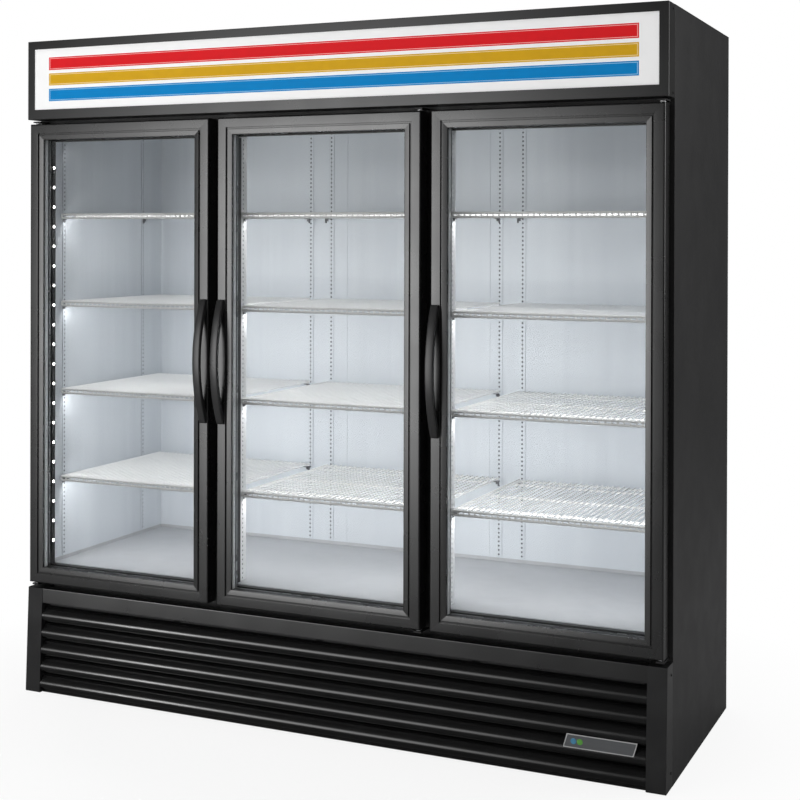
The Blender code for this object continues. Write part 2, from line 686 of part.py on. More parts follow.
def build_compressor(root, place, floor):
    """A welded can: turned profile from the crown down to the flat base."""
    radius = 0.085
    crown = arc_points((radius - 0.045, 0.175), 0.045, 90, 0, 6)
    profile = [(0.0, 0.220)] + crown + [(radius, 0.100), (radius + 0.004, 0.096), (radius + 0.004, 0.090),
                                        (radius, 0.086), (radius, 0.030), (radius - 0.020, 0.0), (0.0, 0.0)]
    mesh = bpy.data.meshes.new("can")
    mesh.from_pydata([(across, 0, up) for across, up in profile],
                     [(i, i + 1) for i in range(len(profile) - 1)], [])
    can = bpy.data.objects.new("can", mesh)
    bpy.context.scene.collection.objects.link(can)
    screw = can.modifiers.new("turned", "SCREW")
    screw.steps = 32
    screw.render_steps = 32
    screw.use_merge_vertices = True
    screw.merge_threshold = 0.0001
    can.location = (place[0], place[1], floor)
    finish_piece(can, "compressor", COMPRESSOR_BLACK, root)


# ---------------------------------------------------------------- assembly


def build():
    root = add_empty("refrigerator_origin", (0, 0, 0))
    build_base_frame(root)
    build_side_panels(root)
    build_rear_and_top(root)
    build_cord_gland(root)
    build_insulation_and_liner(root)
    build_face_frame(root)
    build_header(root)
    build_grille_caps(root)
    build_louvre_panel(root)
    build_badge(root)
    for name, middle, hinge_side in DOORS:
        build_door(root, name, middle, hinge_side)
    build_hinges(root)
    build_shelves(root)
    build_evaporator(root)
    build_condensing_unit(root)
    # the origin is the bottom centre of the whole object, handles and gland included
    root.location.y = -(DEPTH + FIT + 0.006 - HANDLE_REACH) / 2
    bpy.context.view_layer.update()


build()
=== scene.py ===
"""Looks of the three-door glass reach-in refrigerator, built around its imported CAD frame."""

import json
import math

import bmesh
import bpy
from mathutils import Matrix, Vector


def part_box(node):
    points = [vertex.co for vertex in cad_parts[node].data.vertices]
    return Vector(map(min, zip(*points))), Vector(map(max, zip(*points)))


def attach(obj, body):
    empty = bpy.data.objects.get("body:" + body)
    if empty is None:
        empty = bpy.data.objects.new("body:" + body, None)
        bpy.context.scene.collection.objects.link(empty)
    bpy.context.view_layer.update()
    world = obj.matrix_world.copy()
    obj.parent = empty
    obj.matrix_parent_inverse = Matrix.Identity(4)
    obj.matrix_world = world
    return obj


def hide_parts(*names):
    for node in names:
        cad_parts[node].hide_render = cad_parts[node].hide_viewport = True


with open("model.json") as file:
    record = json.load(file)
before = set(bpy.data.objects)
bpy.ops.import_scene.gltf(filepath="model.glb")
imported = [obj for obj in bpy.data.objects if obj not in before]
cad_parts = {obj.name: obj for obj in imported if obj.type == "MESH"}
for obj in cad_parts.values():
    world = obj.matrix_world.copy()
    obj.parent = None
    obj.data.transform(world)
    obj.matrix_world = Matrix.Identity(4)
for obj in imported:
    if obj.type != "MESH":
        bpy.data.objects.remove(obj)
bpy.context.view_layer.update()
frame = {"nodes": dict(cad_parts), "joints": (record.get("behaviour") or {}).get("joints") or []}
NODES = frame["nodes"]

# ---------------------------------------------------------------- places read from the frame

DOOR_NAMES = ("left", "centre", "right")
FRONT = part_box("door_frame_left")[0].y          # front plane of the doors
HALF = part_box("top_panel")[1].x
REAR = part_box("rear_panel")[1].y
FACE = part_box("face_frame")[0].y
LINER_LOW, LINER_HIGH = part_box("liner")
WALL = 0.001                                    # liner sheet
INSIDE_X = LINER_HIGH.x - WALL
INSIDE_REAR = LINER_HIGH.y - WALL
INSIDE_LOW = LINER_LOW.z + WALL
INSIDE_HIGH = LINER_HIGH.z - WALL
FRAME_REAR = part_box("face_frame")[1].y
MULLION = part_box("mullion_left")
MULLION_X = -(MULLION[0].x + MULLION[1].x) / 2
MULLION_HALF = 0.033                            # half width of a mullion's body, behind its flange
MULLION_STEP = FACE + 0.006                     # rear of the mullion's flange
MULLION_REAR = MULLION[1].y
OPENING_X = 0.950                               # inner face of the jambs
OPENING_HIGH = MULLION[1].z
SHELF_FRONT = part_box("shelf_left_1")[0].y
SLOT_PITCH = 0.0135                             # of the slotted strips that carry the shelves
HAIR = 0.0004                                   # gap between pieces that touch
LIP = 0.0112                                    # drop of a shelf's turned-down front, under which clips sit
STANDARD_FRONT, STANDARD_REAR = 0.140, 0.585    # depths of the slotted strips on the side walls
PIN_DEPTH = 0.025                               # of the hinge pins behind the doors' front plane

# ---------------------------------------------------------------- light values

WORLD_LIGHT = 0.32                              # strength of the white surroundings as a source of light
WORLD_GLOSS = 0.07                              # and as seen in reflections
FLOOR_GLOSS = 0.30                              # share of the floor that the cabinet mirrors
SIGN_GLOW = 0.13                                # light that comes through the printed sign
BAY_LIGHT = (1.2, 0.96, 0.96, 0.96, 0.10)       # watts per metre of width, from the lowest space up
LAMP_DEPTH = FRONT - 3.4                        # plane of the lamps that stand before the cabinet

PANES = []                                      # pieces that the front lamp leaves out
RACKS = []                                      # pieces that the shelf lamp lights

# ---------------------------------------------------------------- camera, lights and floor


def add_camera():
    """Seen from the right at eye height; the shift keeps the uprights upright."""
    data = bpy.data.cameras.new("camera")
    data.lens = 66.24
    data.sensor_width = 36.0
    data.shift_x = 0.05
    data.shift_y = -0.20
    camera = bpy.data.objects.new("camera", data)
    bpy.context.scene.collection.objects.link(camera)
    camera.location = (1.8557, FRONT - 3.673, 1.4073)
    camera.rotation_euler = (math.radians(90) - 0.0037, -0.0028, 0.4375)
    bpy.context.scene.camera = camera
    bpy.context.scene.view_settings.view_transform = "Standard"


def add_area(name, place, target, size, power, seen=True):
    data = bpy.data.lights.new(name, "AREA")
    data.shape = "RECTANGLE"
    data.size, data.size_y = size
    data.energy = power
    lamp = bpy.data.objects.new(name, data)
    lamp.location = place
    lamp.rotation_euler = (Vector(target) - Vector(place)).to_track_quat("-Z", "Y").to_euler()
    lamp.visible_camera = False
    lamp.visible_glossy = seen
    bpy.context.scene.collection.objects.link(lamp)
    return lamp


def soften(lamp, power):
    """Fades an area lamp out towards its edges, like a softbox, so that its mirror image has no rim."""
    lamp.data.use_nodes = True
    nodes = Tree(lamp.data.node_tree)
    place = nodes.split(nodes.node("NewGeometry").outputs["Parametric"])
    fades = []
    for axis, most in (("X", power), ("Y", 1.0)):
        away = nodes.math("ABSOLUTE", nodes.math("SUBTRACT", place[axis], 0.5))
        fades.append(nodes.remap(away, most, 0.0, 0.08, 0.5, "SMOOTHSTEP"))
    nodes.link(nodes.math("MULTIPLY", *fades), nodes.tree.nodes["Emission"].inputs["Strength"])


def add_world():
    """White to look at, much softer as a source of light and in reflections."""
    world = bpy.data.worlds.new("studio")
    world.use_nodes = True
    nodes = Tree(world.node_tree)
    nodes.tree.nodes.clear()
    path = nodes.node("LightPath").outputs
    light, gloss, white = (nodes.emit("Background", strength) for strength in (WORLD_LIGHT, WORLD_GLOSS, 1.0))
    unseen = nodes.blend(path["Is Glossy Ray"], light, gloss)
    seen = nodes.math("MAXIMUM", path["Is Camera Ray"], path["Is Transmission Ray"])
    out = nodes.node("OutputWorld")
    nodes.link(nodes.blend(seen, unseen, white), out.inputs["Surface"])
    bpy.context.scene.world = world


def aim(lamp, pieces, state):
    """Flags a lamp off some pieces (EXCLUDE), or off all others (INCLUDE)."""
    chosen = bpy.data.collections.new(lamp.name + "_pieces")
    for piece in pieces:
        chosen.objects.link(piece)
    for entry in chosen.collection_objects:
        entry.light_linking.link_state = state
    lamp.light_linking.receiver_collection = chosen


def add_floor():
    """A pale floor that brightens to the backdrop's white away from the cabinet, so no horizon shows."""
    bpy.ops.mesh.primitive_plane_add(size=80, location=(0, 0, -0.0005))
    floor = bpy.context.object
    floor.name = "floor"
    nodes = Nodes("floor_paint")
    nodes.set(Base_Color=(0.90, 0.90, 0.90, 1), Roughness=0.95, Specular_IOR_Level=0.1)
    away = nodes.node("VectorMath", operation="LENGTH")
    nodes.link(nodes.node("TexCoord").outputs["Object"], away.inputs[0])
    fade = nodes.remap(away.outputs["Value"], 0.86, 1.0, 0.85, 1.6)
    path = nodes.node("LightPath").outputs
    seen = nodes.math("MULTIPLY", fade, path["Is Camera Ray"])
    paint = nodes.blend(seen, nodes.shader.outputs[0], nodes.emit("Emission", 1.0))
    unmirrored = nodes.math("MULTIPLY", path["Is Glossy Ray"], 1.0 - FLOOR_GLOSS)
    nodes.surface(nodes.blend(unmirrored, paint, nodes.emit("Emission", 0.0)))
    floor.data.materials.append(nodes.material)
    floor.visible_shadow = False


def add_studio():
    add_world()
    add_floor()
    front = add_area("front_soft", (-1.72, LAMP_DEPTH, 1.16), (-1.72, FRONT, 1.16), (3.9, 3.8), 1.0)
    soften(front, 215.0)
    strip = add_area("low_strip", (-2.74, LAMP_DEPTH, 0.95), (-0.60, FRONT, 0.2), (0.12, 1.6), 44)
    strip.visible_diffuse = False
    shelves = add_area("shelf_soft", (0.4, LAMP_DEPTH, 1.3), (0, FRONT, 1.0), (3.0, 2.0), 12, seen=False)
    add_area("top_soft", (0.4, -0.2, 4.6), (0, 0, 1.0), (4.0, 3.0), 60, seen=False)
    add_area("side_soft", (4.4, 1.6, 2.4), (0.99, 0.1, 1.0), (2.0, 3.0), 70)
    add_area("rear_soft", (-1.5, 4.2, 2.6), (0, 0.4, 1.0), (3.0, 2.0), 60)
    add_inside_lights()
    return front, strip, shelves


def add_inside_lights():
    """Stands in for the light points beside each bay: a lamp above each shelf space, thrown down and back."""
    tops = [INSIDE_LOW] + [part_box("shelf_left_" + str(level))[1].z for level in range(1, 5)] + [OPENING_HIGH]
    depth = SHELF_FRONT + 0.012
    for bay in DOOR_NAMES:
        low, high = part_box("shelf_" + bay + "_1")
        middle = (low.x + high.x) / 2
        for index, (floor, above) in enumerate(zip(tops, tops[1:])):
            power = BAY_LIGHT[index] * (high.x - low.x)
            add_area("bay_light", (middle, depth, above - 0.030), (middle, INSIDE_REAR, floor - 0.05),
                     (high.x - low.x - 0.02, 0.014), power, seen=False)


# ---------------------------------------------------------------- materials


class Tree:
    """Short calls for the nodes that materials, the world and a lamp use."""

    def __init__(self, tree):
        self.tree = tree

    def node(self, kind, **values):
        made = self.tree.nodes.new("ShaderNode" + kind)
        for key, value in values.items():
            setattr(made, key, value)
        return made

    def link(self, source, target):
        self.tree.links.new(source, target)

    def split(self, vector):
        """Outputs X, Y and Z of a vector."""
        parts = self.node("SeparateXYZ")
        self.link(vector, parts.inputs[0])
        return parts.outputs

    def remap(self, value, low, high, start=0.3, end=0.7, curve="LINEAR"):
        spread = self.node("MapRange", interpolation_type=curve)
        spread.inputs["From Min"].default_value = start
        spread.inputs["From Max"].default_value = end
        spread.inputs["To Min"].default_value = low
        spread.inputs["To Max"].default_value = high
        self.link(value, spread.inputs["Value"])
        return spread.outputs["Result"]

    def math(self, operation, first, second=0.0, third=0.0):
        node = self.node("Math", operation=operation)
        for socket, value in zip(node.inputs, (first, second, third)):
            if hasattr(value, "links"):
                self.link(value, socket)
            else:
                socket.default_value = value
        return node.outputs[0]

    def emit(self, kind, strength):
        """White light of a strength."""
        node = self.node(kind)
        node.inputs["Color"].default_value = (1, 1, 1, 1)
        node.inputs["Strength"].default_value = strength
        return node.outputs[0]

    def blend(self, factor, first, second):
        """Two shaders mixed by a factor."""
        mix = self.node("MixShader")
        for source, socket in zip((factor, first, second), mix.inputs):
            self.link(source, socket)
        return mix.outputs[0]


class Nodes(Tree):
    """A material and its node tree."""

    def __init__(self, name):
        self.material = bpy.data.materials.new(name)
        self.material.use_nodes = True
        super().__init__(self.material.node_tree)
        self.shader = self.tree.nodes["Principled BSDF"]

    def surface(self, shader):
        """Shows another shader instead of the Principled one."""
        self.link(shader, self.tree.nodes["Material Output"].inputs["Surface"])

    def set(self, **values):
        """Values of the shader's inputs, named with _ for a space."""
        for key, value in values.items():
            self.shader.inputs[key.replace("_", " ")].default_value = value

    def feed(self, **outputs):
        """Outputs that drive the shader's inputs, named the same way."""
        for key, output in outputs.items():
            self.link(output, self.shader.inputs[key.replace("_", " ")])

    def place(self, scale=(1, 1, 1)):
        where = self.node("TexCoord").outputs["Object"]
        mapping = self.node("Mapping")
        mapping.inputs["Scale"].default_value = scale
        self.link(where, mapping.inputs["Vector"])
        return mapping.outputs["Vector"]

    def cells(self, scale):
        cells = self.node("TexVoronoi")
        cells.inputs["Scale"].default_value = scale
        self.link(self.place(), cells.inputs["Vector"])
        return cells.outputs

    def noise(self, scale, detail, stretch=(1, 1, 1)):
        noise = self.node("TexNoise")
        noise.inputs["Scale"].default_value = scale
        noise.inputs["Detail"].default_value = detail
        self.link(self.place(stretch), noise.inputs["Vector"])
        return noise.outputs["Fac"]

    def mix_colours(self, factor, first, second):
        mix = self.node("Mix", data_type="RGBA")
        for socket, value in ((mix.inputs[0], factor), (mix.inputs[6], first), (mix.inputs[7], second)):
            if hasattr(value, "links"):
                self.link(value, socket)
            elif hasattr(value, "__len__"):
                socket.default_value = (*value, 1.0)
            else:
                socket.default_value = value
        return mix.outputs[2]

    def bump(self, height, strength, distance):
        bump = self.node("Bump")
        bump.inputs["Strength"].default_value = strength
        bump.inputs["Distance"].default_value = distance
        self.link(height, bump.inputs["Height"])
        return bump.outputs["Normal"]

    def edges(self, radius):
        """0 on flat stretches, up to 1 where a bevelled normal turns, to place a painted highlight along
        edges.
        """
        bevel = self.node("Bevel")
        bevel.inputs["Radius"].default_value = radius
        plain = self.node("NewGeometry").outputs["Normal"]
        turn = self.node("VectorMath", operation="DOT_PRODUCT")
        self.link(bevel.outputs[0], turn.inputs[0])
        self.link(plain, turn.inputs[1])
        return self.remap(turn.outputs["Value"], 1.0, 0.0, 0.80, 0.99)


def coated(name, colour, roughness, variation=0.18, peel=0.10, peel_scale=420, coat=0.0, shine=0.5):
    """Paint or powder coat: slight cloudiness, orange-peel bump, uneven gloss and a painted highlight along
    its edges.
    """
    nodes = Nodes(name)
    cloud = nodes.noise(2.3, 4)
    dark = tuple(c * (1 - variation) for c in colour)
    light = tuple(c * (1 + variation) for c in colour)
    base = nodes.mix_colours(nodes.remap(cloud, 0, 1), dark, light)
    # edges painted lighter than the coat: a painted highlight
    edge = tuple(min(1, c * 1.5 + 0.01) for c in colour)
    edge_highlight = nodes.math("MULTIPLY", nodes.edges(0.0012), 0.35)
    nodes.feed(Base_Color=nodes.mix_colours(edge_highlight, base, edge))
    nodes.feed(Roughness=nodes.remap(nodes.noise(9.0, 5), *roughness))
    nodes.feed(Normal=nodes.bump(nodes.noise(peel_scale, 2), peel, 0.0004))
    nodes.set(Coat_Weight=coat, Coat_Roughness=0.25, Specular_IOR_Level=shine)
    return nodes.material


def brushed(name, colour, roughness, along, strength=0.06, metallic=1.0):
    """Rolled or drawn metal: streaks along one direction, faint smudges."""
    nodes = Nodes(name)
    stretch = tuple(0.02 if axis == along else 1.0 for axis in "XYZ")
    streak = nodes.noise(160, 4, stretch)
    smudge = nodes.noise(5.0, 4)
    dark = tuple(c * 0.88 for c in colour)
    nodes.feed(Base_Color=nodes.mix_colours(nodes.remap(streak, 0, 1), dark, colour))
    both = nodes.math("MULTIPLY_ADD", streak, 0.5, nodes.math("MULTIPLY", smudge, 0.5))
    nodes.feed(Roughness=nodes.remap(both, *roughness))
    nodes.feed(Normal=nodes.bump(streak, strength, 0.0003))
    nodes.set(Metallic=metallic)
    return nodes.material


def moulded(name, colour, roughness, grain=0.12, scale=900, shine=0.5):
    """Moulded plastic or rubber with a fine spark-eroded grain."""
    nodes = Nodes(name)
    haze = nodes.noise(14.0, 4)
    dark = tuple(c * 0.85 for c in colour)
    light = tuple(c * 1.12 + 0.001 for c in colour)
    nodes.feed(Base_Color=nodes.mix_colours(nodes.remap(haze, 0, 1), dark, light))
    nodes.feed(Roughness=nodes.remap(haze, *roughness))
    nodes.feed(Normal=nodes.bump(nodes.cells(scale)["Distance"], grain, 0.0002))
    nodes.set(Specular_IOR_Level=shine)
    return nodes.material


def galvanised_material():
    """Zinc coat with its crystal spangle."""
    nodes = Nodes("galvanised_sheet")
    spangle = nodes.node("SeparateColor")
    nodes.link(nodes.cells(70)["Color"], spangle.inputs[0])
    tone = spangle.outputs[0]
    nodes.feed(Base_Color=nodes.mix_colours(tone, (0.46, 0.48, 0.49), (0.56, 0.58, 0.59)))
    nodes.feed(Roughness=nodes.remap(tone, 0.34, 0.52, 0.0, 1.0))
    nodes.feed(Normal=nodes.bump(nodes.noise(60, 4), 0.08, 0.0005))
    nodes.set(Metallic=0.45)
    return nodes.material


def glass_material(name, tint):
    """Clear glass that lets lamps through to what it covers. A low index keeps its mirror image faint."""
    nodes = Nodes(name)
    nodes.set(Base_Color=(*tint, 1), Roughness=0.0, Transmission_Weight=1.0, IOR=1.18)
    ripple = nodes.noise(3.0, 1)
    nodes.feed(Normal=nodes.bump(ripple, 0.02, 0.002))
    clear = nodes.node("BsdfTransparent")
    clear.inputs["Color"].default_value = (*tint, 1)
    shadow = nodes.node("LightPath").outputs["Is Shadow Ray"]
    nodes.surface(nodes.blend(shadow, nodes.shader.outputs[0], clear.outputs[0]))
    return nodes.material


def glowing(name, colour, strength):
    """A frosted lamp cover with slightly uneven light along it."""
    nodes = Nodes(name)
    patch = nodes.noise(18.0, 2)
    nodes.set(Base_Color=(0.85, 0.86, 0.86, 1), Roughness=0.35, Emission_Strength=strength)
    dim = tuple(c * 0.9 for c in colour)
    nodes.feed(Emission_Color=nodes.mix_colours(nodes.remap(patch, 0, 1), dim, colour))
    return nodes.material


def sign_material(middle_x, half_x):
    """White sheet printed with three plain square-ended colour bands, each with a lighter keyline."""
    nodes = Nodes("sign_print")
    place = nodes.split(nodes.node("TexCoord").outputs["Object"])
    across, up = place["X"], place["Z"]
    grain = nodes.remap(nodes.noise(38.0, 3), 0, 1)
    colour = nodes.mix_colours(grain, (0.875, 0.875, 0.875), (0.915, 0.915, 0.915))

    def inside(value, centre, half):
        return nodes.math("LESS_THAN", nodes.math("ABSOLUTE", nodes.math("SUBTRACT", value, centre)), half)

    bands = ((1.907, 1.946, (0.680, 0.014, 0.019), (0.90, 0.42, 0.42)),
             (1.860, 1.897, (0.624, 0.352, 0.013), (0.88, 0.72, 0.36)),
             (1.812, 1.850, (0.003, 0.212, 0.533), (0.30, 0.58, 0.82)))
    for low, high, ink, line in bands:
        for inset, paint in ((0.0, ink), (0.0032, line), (0.0048, ink)):
            mask = nodes.math("MULTIPLY", inside(up, (low + high) / 2, (high - low) / 2 - inset),
                              inside(across, middle_x, half_x - inset))
            shade = tuple(channel * 0.95 for channel in paint)
            colour = nodes.mix_colours(mask, colour, nodes.mix_colours(grain, shade, paint))
    nodes.feed(Base_Color=colour)
    nodes.feed(Emission_Color=colour)
    nodes.feed(Roughness=nodes.remap(grain, 0.45, 0.55, 0.0, 1.0))
    nodes.feed(Normal=nodes.bump(nodes.noise(240, 2), 0.04, 0.0002))
    nodes.set(Emission_Strength=SIGN_GLOW, Specular_IOR_Level=0.08)
    return nodes.material


def liner_material(name, dark, light):
    """Coated sheet: pale, semi-gloss, with faint rolling marks from top to bottom."""
    nodes = Nodes(name)
    streak = nodes.noise(26, 4, (1.0, 1.0, 0.04))
    fine = nodes.noise(140, 3, (1.0, 1.0, 0.02))
    cloud = nodes.noise(1.7, 3)
    tone = nodes.math("MULTIPLY_ADD", streak, 0.55, nodes.math("MULTIPLY", cloud, 0.45))
    nodes.feed(Base_Color=nodes.mix_colours(nodes.remap(tone, 0, 1), dark, light))
    nodes.feed(Roughness=nodes.remap(tone, 0.34, 0.46))
    nodes.feed(Normal=nodes.bump(fine, 0.05, 0.0003))
    nodes.set(Specular_IOR_Level=0.45)
    return nodes.material


def fin_material():
    """Edge-on stack of thin aluminium fins, with the gaps between them painted dark as painted shade."""
    nodes = Nodes("coil_fins_with_painted_gap_shade")
    across = nodes.split(nodes.node("TexCoord").outputs["Object"])["X"]
    wave = nodes.math("FRACT", nodes.math("MULTIPLY", across, 420.0))
    # stripes painted near-black where the gaps between fins lie in shade: painted shade
    gap = nodes.math("LESS_THAN", wave, 0.45)
    dirt = nodes.noise(30, 4)
    bright = nodes.mix_colours(nodes.remap(dirt, 0, 1), (0.50, 0.51, 0.52), (0.66, 0.67, 0.68))
    nodes.feed(Base_Color=nodes.mix_colours(gap, bright, (0.05, 0.05, 0.05)))
    nodes.feed(Normal=nodes.bump(wave, 0.4, 0.0006))
    nodes.set(Metallic=0.9, Roughness=0.38)
    return nodes.material


def make_materials():
    made = {
        "steel": coated("black_powder_coat", (0.017, 0.017, 0.0175), (0.42, 0.50), peel=0.16, shine=0.4),
        "frame": coated("black_extrusion", (0.0050, 0.0050, 0.0052), (0.25, 0.31), peel=0.05, peel_scale=700,
                        shine=1.0),
        "header": coated("black_header", (0.0045, 0.0045, 0.0046), (0.27, 0.33), peel=0.08, shine=0.8),
        "jamb": coated("black_jamb", (0.012, 0.012, 0.0125), (0.45, 0.55), peel=0.05, peel_scale=700),
        "plastic": moulded("black_moulding", (0.013, 0.013, 0.0135), (0.28, 0.36)),
        # the louvre sheet again with a darker colour and less sheen: painted shade for its deepest faces
        "painted_louvre_shade": moulded("louvre_painted_shade", (0.0026, 0.0026, 0.0027), (0.50, 0.62), 0.2, 500, shine=0.1),
        "louvre": moulded("black_louvre", (0.0040, 0.0040, 0.0041), (0.22, 0.26), 0.06, shine=0.50),
        "handle": moulded("black_pull", (0.022, 0.022, 0.0225), (0.27, 0.34), 0.08, 1100),
        "gasket": moulded("black_vinyl", (0.010, 0.010, 0.010), (0.42, 0.55), 0.1, 500),
        "spacer": brushed("spacer_alloy", (0.62, 0.63, 0.64), (0.30, 0.42), "Z", metallic=0.3),
        "seal": moulded("edge_sealant", (0.008, 0.008, 0.009), (0.5, 0.6)),
        "pin": brushed("plated_steel", (0.80, 0.80, 0.81), (0.22, 0.32), "Z", 0.03, 0.15),
        "liner": liner_material("liner_sheet", (0.60, 0.635, 0.68), (0.69, 0.725, 0.765)),
        "floor_sheet": liner_material("floor_pan_sheet", (0.42, 0.43, 0.45), (0.52, 0.53, 0.55)),
        "pilaster": liner_material("pilaster_coating", (0.80, 0.81, 0.82), (0.88, 0.885, 0.89)),
        "wire": coated("wire_coating", (0.86, 0.86, 0.855), (0.28, 0.36), 0.03, 0.10, 260),
        "clip": brushed("clip_steel", (0.20, 0.20, 0.21), (0.30, 0.42), "X", 0.05),
        "slot": coated("slot_shadow", (0.045, 0.052, 0.066), (0.6, 0.8), 0.2, 0.2, 300),
        "zinc": galvanised_material(),
        "fins": fin_material(),
        "copper": brushed("copper_tube", (0.72, 0.30, 0.16), (0.22, 0.36), "Z", 0.04),
        "can": coated("black_enamel", (0.014, 0.014, 0.015), (0.20, 0.30), 0.1, 0.10, 240, 0.3),
        "grey": moulded("grey_moulding", (0.20, 0.205, 0.21), (0.40, 0.52)),
        "white": coated("white_enamel", (0.74, 0.75, 0.75), (0.28, 0.38), 0.04, 0.08, 320),
        "wiring": moulded("wiring_sleeve", (0.03, 0.03, 0.03), (0.45, 0.6)),
        "led": glowing("led_dots", (1.0, 0.98, 0.94), 9.0),
        "lamp": glowing("sign_lamp_cover", (1.0, 0.98, 0.95), 1.5),
        "foam": coated("foam_skin", (0.62, 0.52, 0.25), (0.7, 0.85), 0.1, 0.4, 120),
        "green": moulded("green_enamel", (0.10, 0.32, 0.05), (0.25, 0.35), 0.03),
        "blue": moulded("blue_enamel", (0.06, 0.22, 0.36), (0.25, 0.35), 0.03),
        "chrome": brushed("badge_rim", (0.62, 0.62, 0.62), (0.26, 0.36), "X", 0.03, 0.3),
        "badge": brushed("badge_field", (0.125, 0.130, 0.136), (0.30, 0.40), "X", 0.05, 0.3),
        "outer_glass": glass_material("outer_pane", (0.990, 0.994, 0.992)),
        "inner_glass": glass_material("inner_pane", (0.990, 0.994, 0.993)),
    }
    made["sign"] = sign_material(0.0, 0.915)
    return made


MATERIALS = make_materials()

# ---------------------------------------------------------------- mesh helpers


def turns(count):
    """Equal steps of one full turn, from 0."""
    return [2 * math.pi * step / count for step in range(count)]


class Shape:
    """Collects solids in one mesh, then becomes one piece that rides on a body."""

    def __init__(self):
        self.mesh = bmesh.new()
        self.slots = ["default"]
        self.slot = 0

    def use(self, material):
        if self.slots == ["default"]:
            self.slots = [material]
        elif material not in self.slots:
            self.slots.append(material)
        self.slot = self.slots.index(material)
        return self

    def paint(self, faces):
        for face in faces:
            face.material_index = self.slot

    def face(self, corners):
        self.mesh.faces.new(corners).material_index = self.slot

    def box(self, corner, opposite, bevel=0.0, segments=2):
        low = Vector([min(pair) for pair in zip(corner, opposite)])
        high = Vector([max(pair) for pair in zip(corner, opposite)])
        size = high - low
        place = Matrix.Translation((low + high) / 2) @ Matrix.Diagonal((*size, 1.0))
        verts = bmesh.ops.create_cube(self.mesh, size=1.0, matrix=place)["verts"]
        faces = list(dict.fromkeys(face for vert in verts for face in vert.link_faces))
        if bevel:
            edges = list(dict.fromkeys(edge for vert in verts for edge in vert.link_edges))
            made = bmesh.ops.bevel(self.mesh, geom=edges, offset=min(bevel, min(size) * 0.45),
                                   segments=segments, profile=0.5, affect="EDGES")
            faces = [face for face in faces if face.is_valid] + list(made["faces"])
        self.paint(faces)
        return self

    def rings(self, rings, closed=False):
        """Skins equal rings of points into a tube, capped unless it is closed into a loop."""
        loops = [[self.mesh.verts.new(point) for point in ring] for ring in rings]
        count = len(loops[0])
        pairs = list(zip(loops, loops[1:]))
        if closed:
            pairs.append((loops[-1], loops[0]))
        for first, second in pairs:
            for index in range(count):
                after = (index + 1) % count
                self.face((first[index], first[after], second[after], second[index]))
        if not closed:
            self.face(list(reversed(loops[0])))
            self.face(loops[-1])
        return self

    def tube(self, points, radius, sides, closed=False):
        points = [Vector(point) for point in points]
        count = len(points)
        rings = []
        side = None
        for index, point in enumerate(points):
            before = points[index - 1] if index or closed else point
            after = points[(index + 1) % count] if index < count - 1 or closed else point
            along = (after - before).normalized()
            if side is None:
                side = along.orthogonal().normalized()
            side = (side - along * side.dot(along)).normalized()
            up = along.cross(side)
            rings.append([point + (side * math.cos(turn) + up * math.sin(turn)) * radius
                          for turn in turns(sides)])
        return self.rings(rings, closed)

    def lathe(self, profile, centre, axis, sides):
        """Turns (radius, along) points about an axis through the centre."""
        basis = {"X": Matrix.Rotation(math.pi / 2, 4, "Y"), "Y": Matrix.Rotation(-math.pi / 2, 4, "X"),
                 "Z": Matrix.Identity(4)}[axis]
        place = Matrix.Translation(centre) @ basis
        rings = []
        for radius, along in profile:
            rings.append([place @ Vector((radius * math.cos(turn), radius * math.sin(turn), along))
                          for turn in turns(sides)])
        return self.rings(rings)

    def screw(self, centre, axis, radius, outward=1):
        """A pan head with a socket, standing on the surface at centre."""
        height = radius * 0.55 * outward
        profile = ((radius, 0), (radius, height * 0.35), (radius * 0.82, height * 0.85),
                   (radius * 0.5, height), (radius * 0.42, height), (radius * 0.38, height * 0.35),
                   (radius * 0.02, height * 0.3))
        return self.lathe(profile, centre, axis, 16)

    def extrude(self, outline, low, high):
        """A closed (Y, Z) outline drawn out along X."""
        return self.rings([[(x, y, z) for y, z in outline] for x in (low, high)])

    def slotted_sheet(self, place, columns, rows, front, back):
        """A sheet on a grid with an opening in every other row of its middle column.

        place(across, out, up) gives a point; columns and rows are the grid's lines."""
        def solid(row, column):
            inside = 0 <= row < len(rows) - 1 and 0 <= column < len(columns) - 1
            return inside and not (column == 1 and row % 2)

        corners = {}

        def corner(row, column, out):
            key = (row, column, out)
            if key not in corners:
                corners[key] = self.mesh.verts.new(place(columns[column], out, rows[row]))
            return corners[key]

        for row in range(len(rows) - 1):
            for column in range(len(columns) - 1):
                if not solid(row, column):
                    continue
                loop = ((row, column), (row, column + 1), (row + 1, column + 1), (row + 1, column))
                self.face([corner(r, c, front) for r, c in loop])
                self.face([corner(r, c, back) for r, c in reversed(loop)])
                beside = ((row - 1, column), (row, column + 1), (row + 1, column), (row, column - 1))
                for step, neighbour in enumerate(beside):
                    if not solid(*neighbour):
                        first, second = loop[step], loop[(step + 1) % 4]
                        self.face((corner(*first, front), corner(*first, back),
                                   corner(*second, back), corner(*second, front)))
        return self

    def finish(self, name, body, replaces=(), slot=None, angle=32, weld=True):
        if weld:
            bmesh.ops.remove_doubles(self.mesh, verts=self.mesh.verts, dist=0.000001)
        bmesh.ops.recalc_face_normals(self.mesh, faces=self.mesh.faces)
        data = bpy.data.meshes.new(name)
        self.mesh.to_mesh(data)
        self.mesh.free()
        for material in self.slots:
            data.materials.append(MATERIALS[material])
        data.shade_smooth()
        data.set_sharp_from_angle(angle=math.radians(angle))
        piece = place_piece(name, data, body)
        if replaces:
            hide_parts(*replaces)
        return piece


def place_piece(name, data, body, offset=(0, 0, 0)):
    """An object that rides on a body, moved by an offset. Pieces can share one mesh."""
    piece = bpy.data.objects.new(name, data)
    piece.location = offset
    bpy.context.scene.collection.objects.link(piece)
    flat = piece.modifiers.new("flat_faces_stay_flat", "WEIGHTED_NORMAL")
    flat.keep_sharp = True
    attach(piece, body)
    return piece


